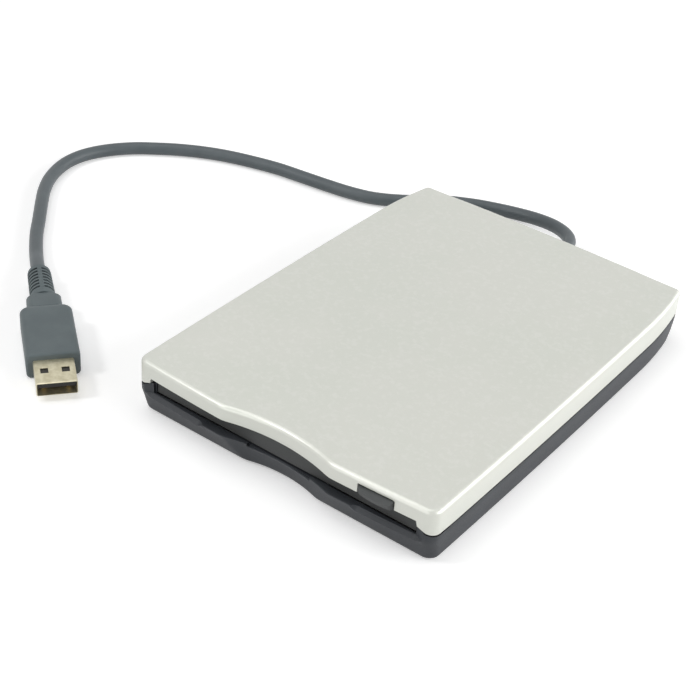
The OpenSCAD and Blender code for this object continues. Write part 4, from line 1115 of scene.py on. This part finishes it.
# ---- the frame's own nodes ----
def dress_frame_nodes():
    """Gives every CAD node that still shows the finish of its slot."""
    slots = {part["node"]: part["material_slot"] for part in frame["record"]["subparts"]}
    for name, node in frame["nodes"].items():
        node.data.materials.clear()
        node.data.materials.append(FINISHES[slots[name]])


dress_frame_nodes()


# ---- floor, background and light ----
WORLD_LIGHT = 0.21
FLOOR_LIFT, FAR_LIFT = 0.38, 0.9  # glow of the floor near the drive, and far from it
NEAR, FAR = 0.35, 1.2  # metres from the middle, as are the lengths below
FLOOR_HALF = 4.0
GROUND_Z = -0.02 * MM  # just under the feet, so that no faces fall together
LAMP_DISTANCE = 1.2
LAMPS = {  # azimuth (0 straight in front of the slot, 90 on the right), elevation, size, level
    "lamp_overhead": (-75, 75, 0.9, 0.28),
    "lamp_right": (100, 22, 0.7, 0.50),
    "lamp_back_right": (138, 14, 0.9, 0.52),
    "lamp_front": (-5, 8, 0.9, 0.30),
    "lamp_gleam_front": (-39, 43, 0.2, 0.20),
}


def make_floor():
    """Plain pale floor, lifted to white where the drive's shadow doesn't fall and far away."""
    finish = Finish(
        "pale_floor", Base_Color=(0.88, 0.88, 0.88, 1.0), Roughness=0.9, Specular_IOR_Level=0.0)
    settings = {"operation": "LENGTH"}
    away = finish.node("ShaderNodeVectorMath", settings, finish.spot(), output="Value")
    lift = finish.tone(away.between(NEAR, FAR), (FLOOR_LIFT,) * 3, (FAR_LIFT,) * 3)
    glow = finish.node("ShaderNodeEmission", {}, lift, finish.seen_directly())
    floor_shader = Wire(finish, finish.shader.outputs[0])
    both = finish.node("ShaderNodeAddShader", {}, floor_shader, glow)
    finish.tree.links.new(both.socket, finish.tree.nodes["Material Output"].inputs["Surface"])
    signs = ((-1, -1), (1, -1), (1, 1), (-1, 1))
    corners = [(x * FLOOR_HALF, y * FLOOR_HALF, GROUND_Z) for x, y in signs]
    mesh = bpy.data.meshes.new("floor")
    mesh.from_pydata(corners, [], [(0, 1, 2, 3)])
    mesh.materials.append(finish.material)
    floor = bpy.data.objects.new("floor", mesh)
    bpy.context.scene.collection.objects.link(floor)


def make_world():
    """Faint even light, with white where the camera, gloss or glass sees past the floor."""
    world = bpy.data.worlds.new("studio")
    nodes = Nodes(world)
    bpy.context.scene.world = world
    strength = nodes.seen_directly() * (1.0 - WORLD_LIGHT) + WORLD_LIGHT
    background = nodes.tree.nodes["Background"]
    background.inputs["Color"].default_value = (1.0, 1.0, 1.0, 1.0)
    nodes.tree.links.new(strength.socket, background.inputs["Strength"])


def make_lamp(name, azimuth, elevation, size, level):
    """Soft lamp: level is what it adds to a white surface that faces it."""
    data = bpy.data.lights.new(name, "AREA")
    data.shape = "SQUARE"
    data.size = size
    data.energy = level * (math.pi * LAMP_DISTANCE) ** 2
    lamp = bpy.data.objects.new(name, data)
    bpy.context.scene.collection.objects.link(lamp)
    turn, rise = math.radians(azimuth), math.radians(elevation)
    out = Vector((
        math.sin(turn) * math.cos(rise), -math.cos(turn) * math.cos(rise), math.sin(rise)))
    lamp.location = out * LAMP_DISTANCE
    lamp.rotation_euler = out.to_track_quat("Z", "Y").to_euler()


make_floor()
make_world()
for lamp_name, lamp_numbers in LAMPS.items():
    make_lamp(lamp_name, *lamp_numbers)
bpy.context.scene.view_settings.view_transform = "Standard"
